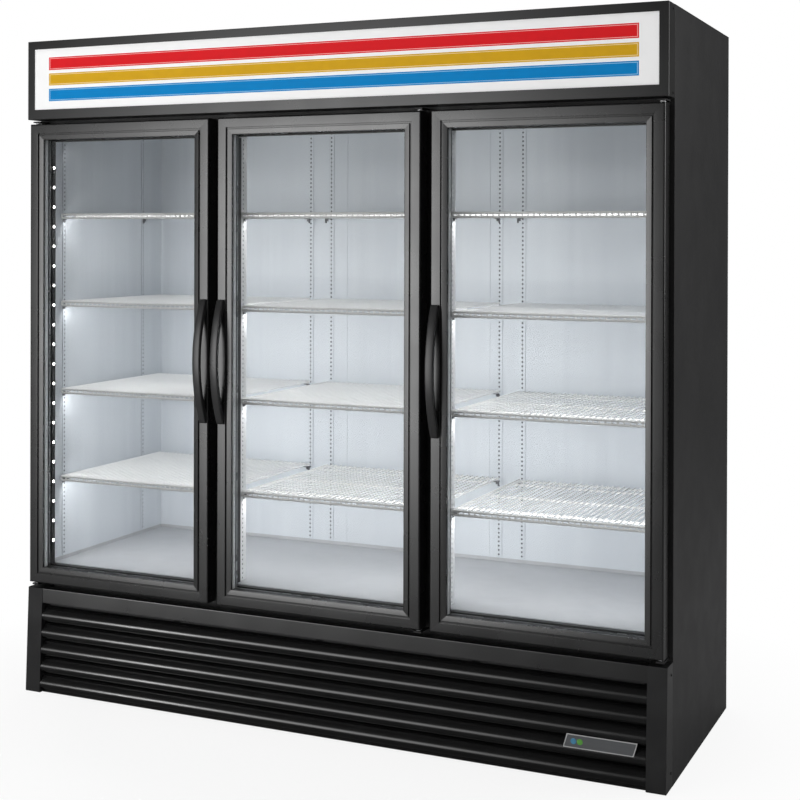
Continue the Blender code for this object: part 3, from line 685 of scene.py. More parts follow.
def polish(node, material, bevel=0.0, segments=2):
    """Keeps a CAD node as it is and gives it its finish and rounded edges."""
    thing = NODES[node]
    thing.data.materials.clear()
    thing.data.materials.append(MATERIALS[material])
    if bevel:
        weld = thing.modifiers.new("joined_corners", "WELD")
        weld.merge_threshold = 0.00002
        edges = thing.modifiers.new("rounded_edges", "BEVEL")
        edges.width = bevel
        edges.segments = segments
        edges.limit_method = "ANGLE"
        edges.angle_limit = math.radians(40)
        edges.harden_normals = True
    return thing


def arc(centre, radius, start, end, count):
    """Points on an arc in a plane, angles in degrees."""
    angles = [math.radians(start + (end - start) * step / count) for step in range(count + 1)]
    return [(centre[0] + radius * math.cos(turn), centre[1] + radius * math.sin(turn)) for turn in angles]


def around(centre, reach, turn, y):
    """A point at an angle round the axis that runs along Y through the centre."""
    return (centre.x + reach * math.cos(turn), y, centre.z + reach * math.sin(turn))


# ---------------------------------------------------------------- cabinet shell


def dress_cabinet():
    finishes = (("side_panel_left", "steel"), ("side_panel_right", "steel"), ("top_panel", "steel"),
                ("sign_frame", "header"), ("sign_panel", "sign", 0.0006), ("sign_lamp", "lamp"),
                ("rear_panel", "zinc"), ("base_frame", "zinc", 0.001), ("insulation", "foam"),
                ("liner", "liner"), ("face_frame", "jamb"), ("mullion_left", "jamb"),
                ("mullion_right", "jamb"))
    for finish in finishes:
        polish(*finish)
    add_header_screws()
    add_skin_bends()
    add_rear_details()


def add_header_screws():
    """Small black screws that hold the sign frame, high and low on each side."""
    low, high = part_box("sign_frame")
    shape = Shape().use("steel")
    for sign in (-1, 1):
        for height in (low.z + 0.012, high.z - 0.014):
            shape.screw((sign * HALF, (low.y + high.y) / 2 + 0.012, height), "X", 0.0035, sign)
    shape.finish("sign_frame_screws", "cabinet")


def add_skin_bends():
    """The rounded fold down each front corner of the cabinet's sides."""
    low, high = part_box("side_panel_right")
    inset, radius = 0.0022, 0.0024
    for sign, name, start, end in ((-1, "left", 180, 270), (1, "right", 0, -90)):
        centre = (sign * HALF - sign * inset, low.y + inset)
        outline = arc(centre, radius, start, end, 6) + [centre]
        fold = Shape().use("steel")
        fold.rings([[(x, y, z) for x, y in outline] for z in (0.0, high.z)])
        fold.finish("side_fold_" + name, "cabinet")


def add_rear_details():
    """Screws round the rear panel, hooded vents, and the flange of the cord gland."""
    shape = Shape().use("pin")
    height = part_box("rear_panel")[1].z
    edge = 0.022
    for across in (-0.97, -0.485, 0.0, 0.485, 0.97):
        for up in (edge, 0.34, 1.17, height - edge):
            shape.screw((across, REAR, up), "Y", 0.0045)
    shape.finish("rear_screws", "cabinet")
    hoods = Shape().use("zinc")
    lowest, pitch, half, radius = 0.080, 0.028, 0.158, 0.006
    for middle in (-0.55, 0.55):
        for row in range(7):
            centre = (REAR - 0.0005, lowest + row * pitch)
            hoods.extrude(arc(centre, radius, 0, 90, 5) + [centre], middle - half, middle + half)
    hoods.finish("rear_vent_hoods", "cabinet")
    polish("cord_gland", "plastic")
    plate = Shape().use("zinc")
    plate.box((-0.93, REAR, 0.352), (0.93, REAR + 0.0012, 0.372), 0.0005)
    plate.finish("rear_seam_strip", "cabinet")


# ---------------------------------------------------------------- lower grille


def dress_grille():
    add_louvres()
    add_caps()
    add_badge()


def grille_front(height):
    """Front plane of the grille at a height: it stands further forwards towards the floor."""
    low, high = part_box("grille_cap_left")
    top_front = FRONT + 0.008
    return top_front - (top_front - low.y) * (1 - height / high.z)


def add_louvres():
    """One sheet rolled into a flat rail and five blades, each curving out of a dark gap to a round nose, its
    deepest faces painted darker as painted shade.
    """
    low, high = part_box("louvre_panel")
    rail_low, soft = 0.272, 0.003                   # lower edge of the flat rail, and its edges' radius
    nose_top, pitch = 0.232, 0.0515
    nose, sweep = 0.0185, 0.067                     # radii of the nose and of the blade above it
    near_lean, far_lean = 33, 55                    # degrees from upright, beside the nose and at the gap
    hollow = 0.0185                                 # depth from which the sheet is in shade
    inner = high.y - 0.003
    rail = grille_front(high.z)
    outline = [(inner, high.z)] + arc((rail + 0.004, high.z - soft), soft, 90, 180, 5)
    outline += arc((rail + soft, rail_low + soft), soft, 180, 270, 5)
    outline.append((inner, rail_low))
    heights = [nose_top - index * pitch for index in range(5)]
    for height in heights:
        centre = grille_front(height) + nose + 0.0005
        lean = math.radians(near_lean)
        blade_centre = (centre + (sweep - nose) * math.cos(lean), height - (sweep - nose) * math.sin(lean))
        blade = arc(blade_centre, sweep, 180 - far_lean, 180 - near_lean, 7)
        outline += [(inner, blade[0][1] + 0.0010), (blade[0][0] + 0.0012, blade[0][1] + 0.0008)] + blade
        outline += arc((centre, height), nose, 180 - near_lean, 280, 16)[1:]
        outline.append((inner, height - nose * 0.97))
    kick = centre - 0.004
    outline[-1] = (kick, outline[-2][1])
    outline += [(kick, 0.0), (high.y, 0.0), (high.y, high.z)]
    panel = Shape().use("louvre")
    panel.extrude(outline, low.x, high.x)
    panel.use("header").paint([face for face in panel.mesh.faces if face.calc_center_median().z > rail_low])
    # faces deeper than that depth get the darker colour: painted shade
    panel.use("painted_louvre_shade")
    for face in panel.mesh.faces:
        centre = face.calc_center_median()
        if centre.z < rail_low + 0.0015 and centre.y > grille_front(centre.z) + hollow:
            face.material_index = panel.slot
    panel.finish("louvres", "cabinet", ["louvre_panel"], "black_plastic", 40)
    # dark boxes on the back wall in place of the air slots' openings: painted shade
    slots = Shape().use("seal")
    columns, margin = 4, 0.012
    bay = (high.x - low.x) / columns
    for height in heights:
        for column in range(columns):
            start = low.x + margin + column * bay
            slots.box((start, inner - 0.0022, height + 0.0305),
                      (start + bay - 2 * margin, inner - 0.0006, height + 0.0345))
    slots.finish("louvre_air_slot_shade", "cabinet")


def add_caps():
    """Moulded end blocks down to the floor, leaning like the grille, with two screws in the side."""
    for name, sign in (("grille_cap_left", -1), ("grille_cap_right", 1)):
        low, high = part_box(name)
        foot, soft = 0.0008, 0.0028
        near_top, near_foot = grille_front(high.z), grille_front(foot)
        outline = [(high.y, foot), (high.y, high.z)] + arc((near_top + soft, high.z - soft), soft, 90, 180, 5)
        outline += arc((near_foot + soft, foot + soft), soft, 180, 270, 5)
        cap = Shape().use("plastic").extrude(outline, low.x, high.x)
        edges = [edge for edge in cap.mesh.edges if edge.calc_face_angle() > 1.2]
        bmesh.ops.bevel(cap.mesh, geom=edges, offset=0.0014, segments=3, profile=0.5, affect="EDGES")
        cap.finish(name + "_block", "cabinet", [name], "black_plastic", 35)
        screws = Shape().use("steel")
        for height in (0.040, high.z - 0.028):
            screws.screw((sign * HALF, high.y - 0.018, height), "X", 0.0035, sign)
        screws.finish(name + "_screws", "cabinet")


def add_badge():
    """A leaning metal plate with a raised rim, a plain dark field and two small enamel dots."""
    low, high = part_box("badge")
    slant = 0.010
    front, rear = low.y, high.y

    def corner_loop(inset, depth):
        lean_in = inset * 1.05
        return [(low.x + lean_in, depth, low.z + inset), (high.x - slant - lean_in, depth, low.z + inset),
                (high.x - lean_in, depth, high.z - inset), (low.x + slant + lean_in, depth, high.z - inset)]

    rim = Shape().use("chrome")
    rim.rings([corner_loop(0.0, rear), corner_loop(0.0, front + 0.0004), corner_loop(0.0005, front),
               corner_loop(0.0022, front), corner_loop(0.0026, front + 0.0007)])
    rim.use("badge").rings([corner_loop(0.0026, front + 0.00095), corner_loop(0.0026, front + 0.0006)])
    middle = (low.z + high.z) / 2
    for name, across in (("blue", low.x + 0.028), ("green", low.x + 0.045)):
        rim.use(name).lathe(((0.0078, 0), (0.0078, -0.0006), (0.0066, -0.0009), (0.0001, -0.0009)),
                            (across, front + 0.0006, middle), "Y", 24)
    rim.finish("badge_plate", "cabinet", ["badge"], "bright_steel", 30)
    posts = Shape().use("plastic")
    for across in (low.x + 0.04, high.x - 0.04):
        posts.box((across - 0.006, rear, middle - 0.006),
                  (across + 0.006, rear + 0.016, middle + 0.006), 0.0008)
    posts.finish("badge_posts", "cabinet")


# ---------------------------------------------------------------- doors


def mitred_frame(shape, low, high, profile, gap=0.00012, quarters=(0, 1, 2, 3)):
    """Rails of one (inset, depth) profile, mitred at the corners with a hairline between them.

    Quarters 0 and 2 are the top and the bottom, 1 and 3 the uprights."""
    middle = Vector(((low.x + high.x) / 2, 0, (low.z + high.z) / 2))
    half_x = (high.x - low.x) / 2
    half_z = (high.z - low.z) / 2
    for quarter in quarters:
        upright = quarter % 2
        near, run = (half_x, half_z) if upright else (half_z, half_x)
        sign = 1 if quarter < 2 else -1
        rings = []
        for end in (-1, 1):
            ring = []
            for inset, depth in profile:
                along = end * (run - inset - gap)
                across = sign * (near - inset)
                point = (across, depth, along) if upright else (along, depth, across)
                ring.append(middle + Vector(point))
            rings.append(ring)
        shape.rings(rings)


def door_profile():
    """Section of the door rail: round outer edge, flat land, dark groove, inner band, bead at the rear."""
    y = FRONT
    outer = arc((0.0045, y + 0.0045), 0.0045, 180, 270, 6)
    land = [(0.0275, y), (0.0283, y + 0.0006), (0.0285, y + 0.0052), (0.0335, y + 0.0052),
            (0.0337, y + 0.0010), (0.0345, y + 0.0004)]
    inner = [(0.0472, y + 0.0016), (0.0486, y + 0.0024), (0.0490, y + 0.0038), (0.0490, y + 0.0082),
             (0.0402, y + 0.0086), (0.0402, y + 0.0318), (0.0480, y + 0.0324), (0.0470, y + 0.0400),
             (0.0430, y + 0.0485), (0.0400, y + 0.0495)]
    rear = [(0.0030, y + 0.0495), (0.0015, y + 0.0490), (0.0002, y + 0.0470)]
    return outer + land + inner + rear


def gasket_profile():
    """Bellows section of a magnetic gasket: foot, two folds, and the flat magnet face."""
    near, far = (corner.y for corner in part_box("gasket_left"))
    depth = far - near
    left, right = 0.0110, 0.0320
    inner_side = [(left + 0.003, near), (left + 0.001, near + depth * 0.18),
                  (left + 0.004, near + depth * 0.34), (left, near + depth * 0.55),
                  (left + 0.001, near + depth * 0.92), (left + 0.003, far)]
    outer_side = [(right - 0.004, far), (right - 0.001, near + depth * 0.92), (right, near + depth * 0.55),
                  (right - 0.004, near + depth * 0.36), (right - 0.0005, near + depth * 0.18),
                  (right - 0.003, near)]
    return inner_side + outer_side


def dress_door(name):
    body = name + "_door"
    low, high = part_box("door_frame_" + name)
    rails = Shape().use("frame")
    mitred_frame(rails, low, high, door_profile())
    rails.finish("door_rails_" + name, body, ["door_frame_" + name], "black_frame", 40, weld=False)
    add_glass(name, body)
    seal = Shape().use("gasket")
    mitred_frame(seal, low, high, gasket_profile(), 0.0)
    seal.finish("door_gasket_" + name, body, ["gasket_" + name], "gasket", 50, weld=False)
    add_pull(name, body)
    add_door_fittings(name, body, low, high)


def add_glass(name, body):
    """Two panes, the spacer between them with its row of vent dots and its top and bottom runs painted dark as
    painted shade, and the dark edge seal.
    """
    low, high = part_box("glass_unit_" + name)
    pane = 0.004
    outer = Shape().use("outer_glass").box(low, (high.x, low.y + pane, high.z), 0.0003, 1)
    PANES.append(outer.finish("outer_pane_" + name, body, ["glass_unit_" + name], "glass"))
    inner = Shape().use("inner_glass").box((low.x, high.y - pane, low.z), high, 0.0003, 1)
    PANES.append(inner.finish("inner_pane_" + name, body, slot="glass"))
    near, far = low.y + pane + 0.0002, high.y - pane - 0.0002
    edge = 0.0087
    section = [(0.0046, near), (0.0046, far), (edge - 0.0006, far), (edge, far - 0.001), (edge, near + 0.001),
               (edge - 0.0006, near)]
    spacer = Shape().use("spacer")
    mitred_frame(spacer, low, high, section, quarters=(1, 3))
    # top and bottom runs of the spacer take the dark seal colour instead of the alloy: painted shade
    spacer.use("seal")
    mitred_frame(spacer, low, high, section, quarters=(0, 2))
    mitred_frame(spacer, low, high, [(0.0003, near), (0.0003, far), (0.0044, far), (0.0044, near)], 0.0)
    middle = (near + far) / 2
    margin, pitch = 0.03, 0.018
    for index in range(int((high.z - low.z - 0.06) / pitch)):
        height = low.z + margin + index * pitch
        for across in (low.x + edge, high.x - edge):
            spacer.box((across - 0.0002, middle - 0.0005, height - 0.0012),
                       (across + 0.0001, middle + 0.0005, height + 0.0012))
    spacer.finish("glass_spacer_" + name, body, slot="bright_steel", weld=False)


def add_pull(name, body):
    """Bowed strap handle: flat crown, rounded edges, widest in the middle, feet flat on the door."""
    low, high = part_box("handle_" + name)
    middle_x = (low.x + high.x) / 2
    middle_z = (low.z + high.z) / 2
    half = (high.z - low.z) / 2
    foot, reach = 0.0085, high.y - low.y            # thickness at the feet, and of the whole bow
    rise = reach - foot
    radius = (half ** 2 + rise ** 2) / (2 * rise)
    inner_half, inner_rise = half - 0.024, reach - 0.0095
    inner_radius = (inner_half ** 2 + inner_rise ** 2) / (2 * inner_rise)
    rings = []
    steps = 56
    for step in range(steps + 1):
        along = math.sin(math.pi / 2 * (-1 + 2 * step / steps))
        height = half * along
        crown = foot + math.sqrt(radius ** 2 - height ** 2) - (radius - rise)
        if abs(height) < inner_half:
            hollow = math.sqrt(inner_radius ** 2 - height ** 2) - (inner_radius - inner_rise)
        else:
            hollow = 0.0
        width = 0.0107 + 0.0016 * math.cos(along * math.pi / 2)
        end_round = min(1.0, (half - abs(height)) / 0.004 + 0.25)
        crown = hollow + (crown - hollow) * (0.62 + 0.38 * end_round)
        thick = crown - hollow
        soft = min(0.0030, thick * 0.35)
        section = [(-width, hollow), (-width, crown - soft), (-width + soft * 0.35, crown - soft * 0.4),
                   (-width + soft * 1.1, crown), (0.0, crown + 0.0004), (width - soft * 1.1, crown),
                   (width - soft * 0.35, crown - soft * 0.4), (width, crown - soft), (width, hollow),
                   (0.0, hollow)]
        rings.append([(middle_x + across, high.y - out, middle_z + height) for across, out in section])
    shape = Shape().use("handle")
    shape.rings(rings)
    shape.finish("pull_handle_" + name, body, ["handle_" + name], "black_plastic", 38)


def add_door_fittings(name, body, low, high):
    """Bushes round the hinge pins, in the lower and upper edges of the door."""
    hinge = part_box("hinge_low_" + name)
    axis_x = (hinge[0].x + hinge[1].x) / 2
    axis_y = FRONT + PIN_DEPTH
    bush = Shape().use("grey")
    ring = ((0.0049, 0.0), (0.0049, 0.0012), (0.0085, 0.0012), (0.0095, 0.0004), (0.0095, 0.0))
    bush.lathe([(radius, -up) for radius, up in ring], (axis_x, axis_y, low.z), "Z", 24)
    bush.lathe(ring, (axis_x, axis_y, high.z), "Z", 24)
    bush.finish("hinge_bushes_" + name, body)


def dress_hinges():
    """Black brackets with a countersunk screw, and the plated collar of the pin between bracket and door."""
    for name in DOOR_NAMES:
        door_low, door_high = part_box("door_frame_" + name)
        for level, sign in (("top", 1), ("low", -1)):
            node = "hinge_" + level + "_" + name
            polish(node, "steel", 0.0006)
            low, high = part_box(node)
            middle = (low.x + high.x) / 2
            outside = high.z if sign > 0 else low.z
            shape = Shape().use("steel")
            shape.screw((middle, high.y - 0.009, outside), "Z", 0.0028, sign)
            door_edge = door_high.z if sign > 0 else door_low.z
            near, far = door_edge + sign * 0.0016, door_edge + sign * 0.0052
            shape.use("pin").lathe(((0.0049, near), (0.0070, near), (0.0074, (near + far) / 2), (0.0070, far),
                                    (0.0049, far)), (middle, FRONT + PIN_DEPTH, 0.0), "Z", 24)
            shape.finish(node + "_fixings", "cabinet")


# ---------------------------------------------------------------- inside the cabinet


def slot_rows(low, high, slot):
    """Heights of a slotted strip's grid lines: an opening in the middle of every pitch."""
    rows = [low]
    for index in range(int((high - low) / SLOT_PITCH)):
        middle = low + (index + 0.5) * SLOT_PITCH
        rows += [middle - slot / 2, middle + slot / 2]
    rows.append(high)
    return rows


def add_standard(name, place, facing, low, high):
    """A slotted strip that carries the shelf clips, let into the wall, dark behind its slots."""
    half, depth, slot = 0.010, 0.0024, 0.0052
    turn = {"+X": (1, 0), "-X": (-1, 0), "-Y": (0, -1)}[facing]

    def point(across, out, up):
        return (place[0] + turn[0] * out + abs(turn[1]) * across,
                place[1] + turn[1] * out + abs(turn[0]) * across, up)

    columns = (-half, -slot / 2, slot / 2, half)
    shape = Shape().use("liner")
    shape.slotted_sheet(point, columns, slot_rows(low, high, slot), depth, depth - 0.0012)
    shape.use("slot")
    shape.box(point(-half + 0.001, 0.0003, low + 0.001), point(half - 0.001, depth - 0.0014, high - 0.001))
    shape.finish(name, "cabinet", weld=False)


def add_standards():
    """Two on each side wall, and a pair at each section line of the rear wall."""
    low, high = INSIDE_LOW + 0.016, 1.760
    for sign, side, facing in ((-1, "left", "+X"), (1, "right", "-X")):
        for depth, end in ((STANDARD_FRONT, "front"), (STANDARD_REAR, "rear")):
            add_standard("standard_" + side + "_" + end, (sign * INSIDE_X, FRONT + depth), facing, low, high)
        for offset, end in ((-0.038, "outer"), (0.038, "inner")):
            place = (sign * (MULLION_X - offset), INSIDE_REAR)
            add_standard("standard_rear_" + side + "_" + end, place, "-Y", low, high)


def add_pilasters():
    """White slotted columns behind the mullions, which carry the inner front corners of the shelves."""
    half, sheet, slot = 0.029, 0.0014, 0.0052
    near, far = MULLION_REAR + HAIR, MULLION_REAR + 0.040
    low, high = INSIDE_LOW + 0.0016, OPENING_HIGH + 0.030
    columns = (near, near + 0.0175, near + 0.0175 + slot, far)
    rows = slot_rows(low, high, slot)
    for sign, side in ((-1, "left"), (1, "right")):
        middle = sign * MULLION_X
        shape = Shape().use("pilaster")
        for face in (-1, 1):
            shape.slotted_sheet(lambda across, out, up: (middle + face * out, across, up), columns, rows,
                                half, half - sheet)
        for depth in (near, far - sheet):
            shape.box((middle - half + sheet + 0.0001, depth, low),
                      (middle + half - sheet - 0.0001, depth + sheet, high))
        shape.use("slot").box((middle - half + sheet + 0.0006, near + sheet + 0.001, low + 0.001),
                              (middle + half - sheet - 0.0006, far - sheet - 0.001, high - 0.001))
        shape.finish("pilaster_" + side, "cabinet", weld=False)


def dress_interior():
    add_floor_pan()
    add_liner_seams()
    add_standards()
    add_pilasters()
    add_light_strips()
    dress_shelves()


def add_floor_pan():
    """Loose floor sheet with a low rim turned up along the side walls and the rear wall."""
    floor = Shape().use("floor_sheet")
    side, near, sheet_top = INSIDE_X - HAIR, FRAME_REAR + 0.001, INSIDE_LOW + 0.0014
    rim_top = INSIDE_LOW + 0.012
    floor.box((-side, near, INSIDE_LOW + 0.0002), (side, INSIDE_REAR - HAIR, sheet_top))
    for sign in (-1, 1):
        floor.box((sign * side, near, sheet_top),
                  (sign * (side - 0.0012), INSIDE_REAR - 0.002, rim_top), 0.0004)
    floor.box((-side, INSIDE_REAR - 0.0016, sheet_top), (side, INSIDE_REAR - HAIR, rim_top), 0.0004)
    floor.finish("floor_pan", "cabinet")


def add_liner_seams():
    """Overlapped sheet joints of the rear wall and the folded corners of the liner."""
    seams = Shape().use("liner")
    for across in (-0.249, 0.249):
        seams.box((across - 0.014, INSIDE_REAR - 0.0012, INSIDE_LOW + 0.014),
                  (across + 0.014, INSIDE_REAR - 0.0001, INSIDE_HIGH - 0.002), 0.0004)
    radius = 0.006
    for side in (-1, 1):
        corner = (side * INSIDE_X, INSIDE_REAR)
        centre = (corner[0] - side * radius, corner[1] - radius)
        turn = arc(centre, radius, 0 if side > 0 else 180, 90, 5) + [corner]
        seams.rings([[(x, y, z) for x, y in turn] for z in (INSIDE_LOW + 0.012, INSIDE_HIGH - 0.001)])
    seams.finish("liner_seams", "cabinet", weld=False)


def add_light_strips():
    """A strip with a row of light points on each jamb and on one side of each mullion."""
    low, count, pitch, radius = 0.453, 20, 0.061, 0.0043
    jamb_y = (FACE + FRAME_REAR) / 2
    mullion_y = (MULLION_STEP + MULLION_REAR) / 2
    places = (("left_jamb", -OPENING_X, jamb_y, 1),
              ("left_mullion", -MULLION_X - MULLION_HALF, mullion_y, -1),
              ("right_mullion", MULLION_X - MULLION_HALF, mullion_y, -1),
              ("right_jamb", OPENING_X, jamb_y, -1))
    for name, wall, depth, facing in places:
        strip = Shape().use("jamb")
        strip.box((wall + facing * 0.0003, depth - 0.0075, low - 0.030),
                  (wall + facing * 0.0014, depth + 0.0075, low + count * pitch - 0.030), 0.0004)
        strip.use("led")
        dome = [(radius * math.cos(turn), facing * (0.0014 + 0.0022 * math.sin(turn)))
                for turn in (math.radians(angle) for angle in (0, 22, 45, 68, 89))]
        for index in range(count):
            strip.lathe([(radius, facing * 0.0012)] + dome, (wall, depth, low + index * pitch), "X", 20)
        strip.finish("light_strip_" + name, "cabinet", weld=False)


def wire_shelf(low, high):
    """Welded rack: close front-to-rear wires over cross rods, turned down at the front into a lip."""
    top, wire, rod = high.z, 0.0023, 0.0034
    left, right = low.x + rod, high.x - rod
    front, rear = low.y + rod, high.y - rod
    shape = Shape().use("wire")
    wire_z = top - wire
    count = int(round((right - left) / 0.0168))
    step = (right - left) / count
    bend = 0.004
    for index in range(1, count):
        across = left + index * step
        path = [(across, rear, wire_z), (across, (front + rear) / 2, wire_z), (across, front + bend, wire_z)]
        path += [(across, front + bend - bend * math.sin(turn), wire_z - bend + bend * math.cos(turn))
                 for turn in (math.radians(30), math.radians(60), math.radians(90))]
        path.append((across, front, top - LIP - rod))
        shape.tube(path, wire, 6)
    for depth, drop in ((front, rod), (front, LIP + rod), (rear, 2 * wire + rod)):
        shape.tube([(left, depth, top - drop), (right, depth, top - drop)], rod, 10)
    for share in (0.12, 0.5, 0.88):
        depth = front + (rear - front) * share
        drop = 2 * wire + rod * 0.9
        shape.tube([(left, depth, top - drop), (right, depth, top - drop)], rod * 0.9, 8)
    for across in (left, right):
        shape.tube([(across, front, top - rod), (across, rear, top - rod)], rod, 10)
        shape.tube([(across, front, top - rod), (across, front, top - LIP - rod)], rod, 10)
    return shape


def dress_shelves():
    """Four racks a bay. Those of one bay share the lowest rack's mesh."""
    for bay in DOOR_NAMES:
        for level in range(1, 5):
            node = "shelf_" + bay + "_" + str(level)
            low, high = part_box(node)
            if level == 1:
                shape = wire_shelf(low, high)
                rack = shape.finish("wire_" + node, "cabinet", [node], "shelf_white", 50, weld=False)
                first, first_top = rack, high.z
            else:
                rack = place_piece("wire_" + node, first.data, "cabinet", (0, 0, high.z - first_top))
                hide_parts(node)
            RACKS.append(rack)
            add_clips(node, low, high)


def add_clips(node, low, high):
    """Four steel clips under the shelf's corners: a tongue under the rod, and a hooked back."""
    shape = Shape().use("clip")
    under = high.z - LIP
    half, rib = 0.006, 0.0010                       # half widths of a clip and of its gusset
    for across, sign in ((low.x, 1), (high.x, -1)):
        wall_side = abs(across) > 0.8
        start = across - sign * (0.0012 if wall_side else 0.0014)
        rear_depth = FRONT + STANDARD_REAR if wall_side else high.y - 0.014
        for depth in (low.y + 0.020, rear_depth):
            shape.box((start, depth - half, under - 0.0022),
                      (start + sign * 0.018, depth + half, under - 0.0002), 0.0006)
            shape.box((start, depth - half, under - 0.0150),
                      (start + sign * 0.0020, depth + half, under - 0.0023), 0.0006)
            shape.box((start + sign * 0.0021, depth - rib, under - 0.0095),
                      (start + sign * 0.0100, depth + rib, under - 0.0023), 0.0004)
    shape.finish("clips_" + node, "cabinet", weld=False)


# ---------------------------------------------------------------- evaporator


def add_rotor(name, centre, radius, hub, depth):
    """Moulded fan of five curved, twisted blades on a domed hub. Its body and its CAD node have its name."""
    blades = 5
    shape = Shape().use("grey")
    half = depth / 2
    dome = ((0.0005, -half), (hub * 0.55, -half), (hub * 0.92, -half * 0.7), (hub, -half * 0.3))
    shape.lathe(dome + ((hub, half), (hub * 0.8, half), (0.0005, half)), centre, "Y", 32)
    for start in turns(blades):
        rows = []
        for ring in range(7):
            share = ring / 6
            reach = hub * 0.96 + (radius - hub * 0.96) * share
            twist = math.radians(52 - 24 * share)
            chord = 0.55 * hub + radius * 0.36 * math.sin(math.pi * (0.25 + 0.6 * share))
            row = []
            for column in range(6):
                offset = (column / 5 - 0.5) * chord
                turn = start + offset * math.sin(twist) / reach * 1.1
                camber = 0.0012 * math.sin(column / 5 * math.pi)
                lift = offset * math.cos(twist) * (depth / chord) * 0.85 + camber
                row.append(around(centre, reach, turn, centre.y + lift))
            rows.append(row)
        sheets = []
        for side in (-0.0006, 0.0006):
            sheets.append([[shape.mesh.verts.new((x, y + side, z)) for x, y, z in row] for row in rows])
        for sheet in sheets:
            for i in range(6):
                for j in range(5):
                    shape.face((sheet[i][j], sheet[i][j + 1], sheet[i + 1][j + 1], sheet[i + 1][j]))
        rim = [(i, 0) for i in range(6)] + [(6, j) for j in range(5)] + [(6 - i, 5) for i in range(6)]
        rim += [(0, 5 - j) for j in range(5)]
        for (i, j), (k, m) in zip(rim, rim[1:] + rim[:1]):
            shape.face((sheets[0][i][j], sheets[0][k][m], sheets[1][k][m], sheets[1][i][j]))
    shape.finish(name + "_rotor", name, [name], "grey_plastic", 45, weld=False)


def add_guard(name, centre, radius, front):
    """Wire fan guard: rings on four spokes, whose ends are screwed to the casing."""
    shape = Shape().use("wire")
    rings = max(3, int(radius / 0.011))
    spoke_reach, rise = radius * 1.12, 0.004
    for ring in range(1, rings + 1):
        reach = radius * ring / rings
        dome = rise * (1 - (reach / radius) ** 2)
        points = [around(centre, reach, turn, front - 0.003 - dome) for turn in turns(40)]
        shape.tube(points, 0.0009, 6, closed=True)
    for spoke in range(4):
        turn = math.pi / 4 + spoke * math.pi / 2
        points = []
        for step in range(7):
            reach = spoke_reach * step / 6
            dome = rise * max(0.0, 1 - (reach / radius) ** 2)
            points.append(around(centre, reach, turn, front - 0.0015 - dome))
        shape.tube(points, 0.0012, 6)
        shape.screw(around(centre, spoke_reach, turn, front), "Y", 0.0035, -1)
    shape.finish(name, "cabinet", weld=False)


def add_bend(shape, end, reach, y, half, z, radius):
    """Return bend of a coil's tube: a half turn that stands out of the coil's end."""
    angles = [math.pi * step / 8 for step in range(9)]
    shape.tube([(end + reach * math.sin(turn), y + half * math.cos(turn), z) for turn in angles], radius, 8)


def joint_place(name):
    return next(Vector(joint["pos_m"]) for joint in frame["joints"] if joint["name"] == name)


def dress_evaporator():
    polish("evaporator_housing", "white", 0.0012)
    polish("evaporator_coil", "fins")
    polish("light_switch", "plastic", 0.0012, 3)
    low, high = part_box("evaporator_housing")
    for side in ("left", "right"):
        node = "evaporator_fan_" + side
        centre = joint_place(node + "_spin")
        add_rotor(node, centre, 0.058, 0.0145, 0.0135)
        add_guard("fan_guard_" + side, centre, 0.066, low.y)
        motor = Shape().use("can")
        motor.lathe(((0.003, 0.010), (0.024, 0.010), (0.026, 0.013),
                     (0.026, 0.050), (0.022, 0.056), (0.002, 0.056)), centre, "Y", 28)
        for degrees in (90, 210, 330):
            angle = math.radians(degrees)
            motor.tube([around(centre, 0.020, angle, centre.y + 0.040),
                        around(centre, 0.074, angle, centre.y + 0.034)], 0.002, 8)
        motor.finish("fan_motor_" + side, "cabinet", weld=False)
    screws = Shape().use("pin")
    for across in (-0.44, -0.32, 0.0, 0.32, 0.44):
        screws.screw((across, low.y, low.z + 0.012), "Y", 0.0035, -1)
    for across in (-0.44, -0.2, 0.2, 0.44):
        screws.screw((across, low.y + 0.02, low.z), "Z", 0.0035, -1)
    screws.finish("evaporator_screws", "cabinet")
    bends = Shape().use("copper")
    coil_low, coil_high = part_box("evaporator_coil")
    for row in range(4):
        for column in range(3):
            y = coil_low.y + 0.030 + column * 0.052
            z = coil_low.z + 0.018 + row * 0.030
            add_bend(bends, coil_high.x, 0.012, y, 0.012, z, 0.0045)
    bends.finish("evaporator_bends", "cabinet", weld=False)
    add_knob()
    add_switch_plate(low)
    drain = Shape().use("grey")
    across, depth = 0.30, high.y + 0.008
    drain.tube(smooth_path([(across, depth, low.z + 0.012), (across, depth, low.z - 0.004),
                            (across, (high.y + INSIDE_REAR) / 2, low.z - 0.016),
                            (across, INSIDE_REAR, low.z - 0.016)]), 0.006, 12)
    drain.finish("drain_tube", "cabinet")


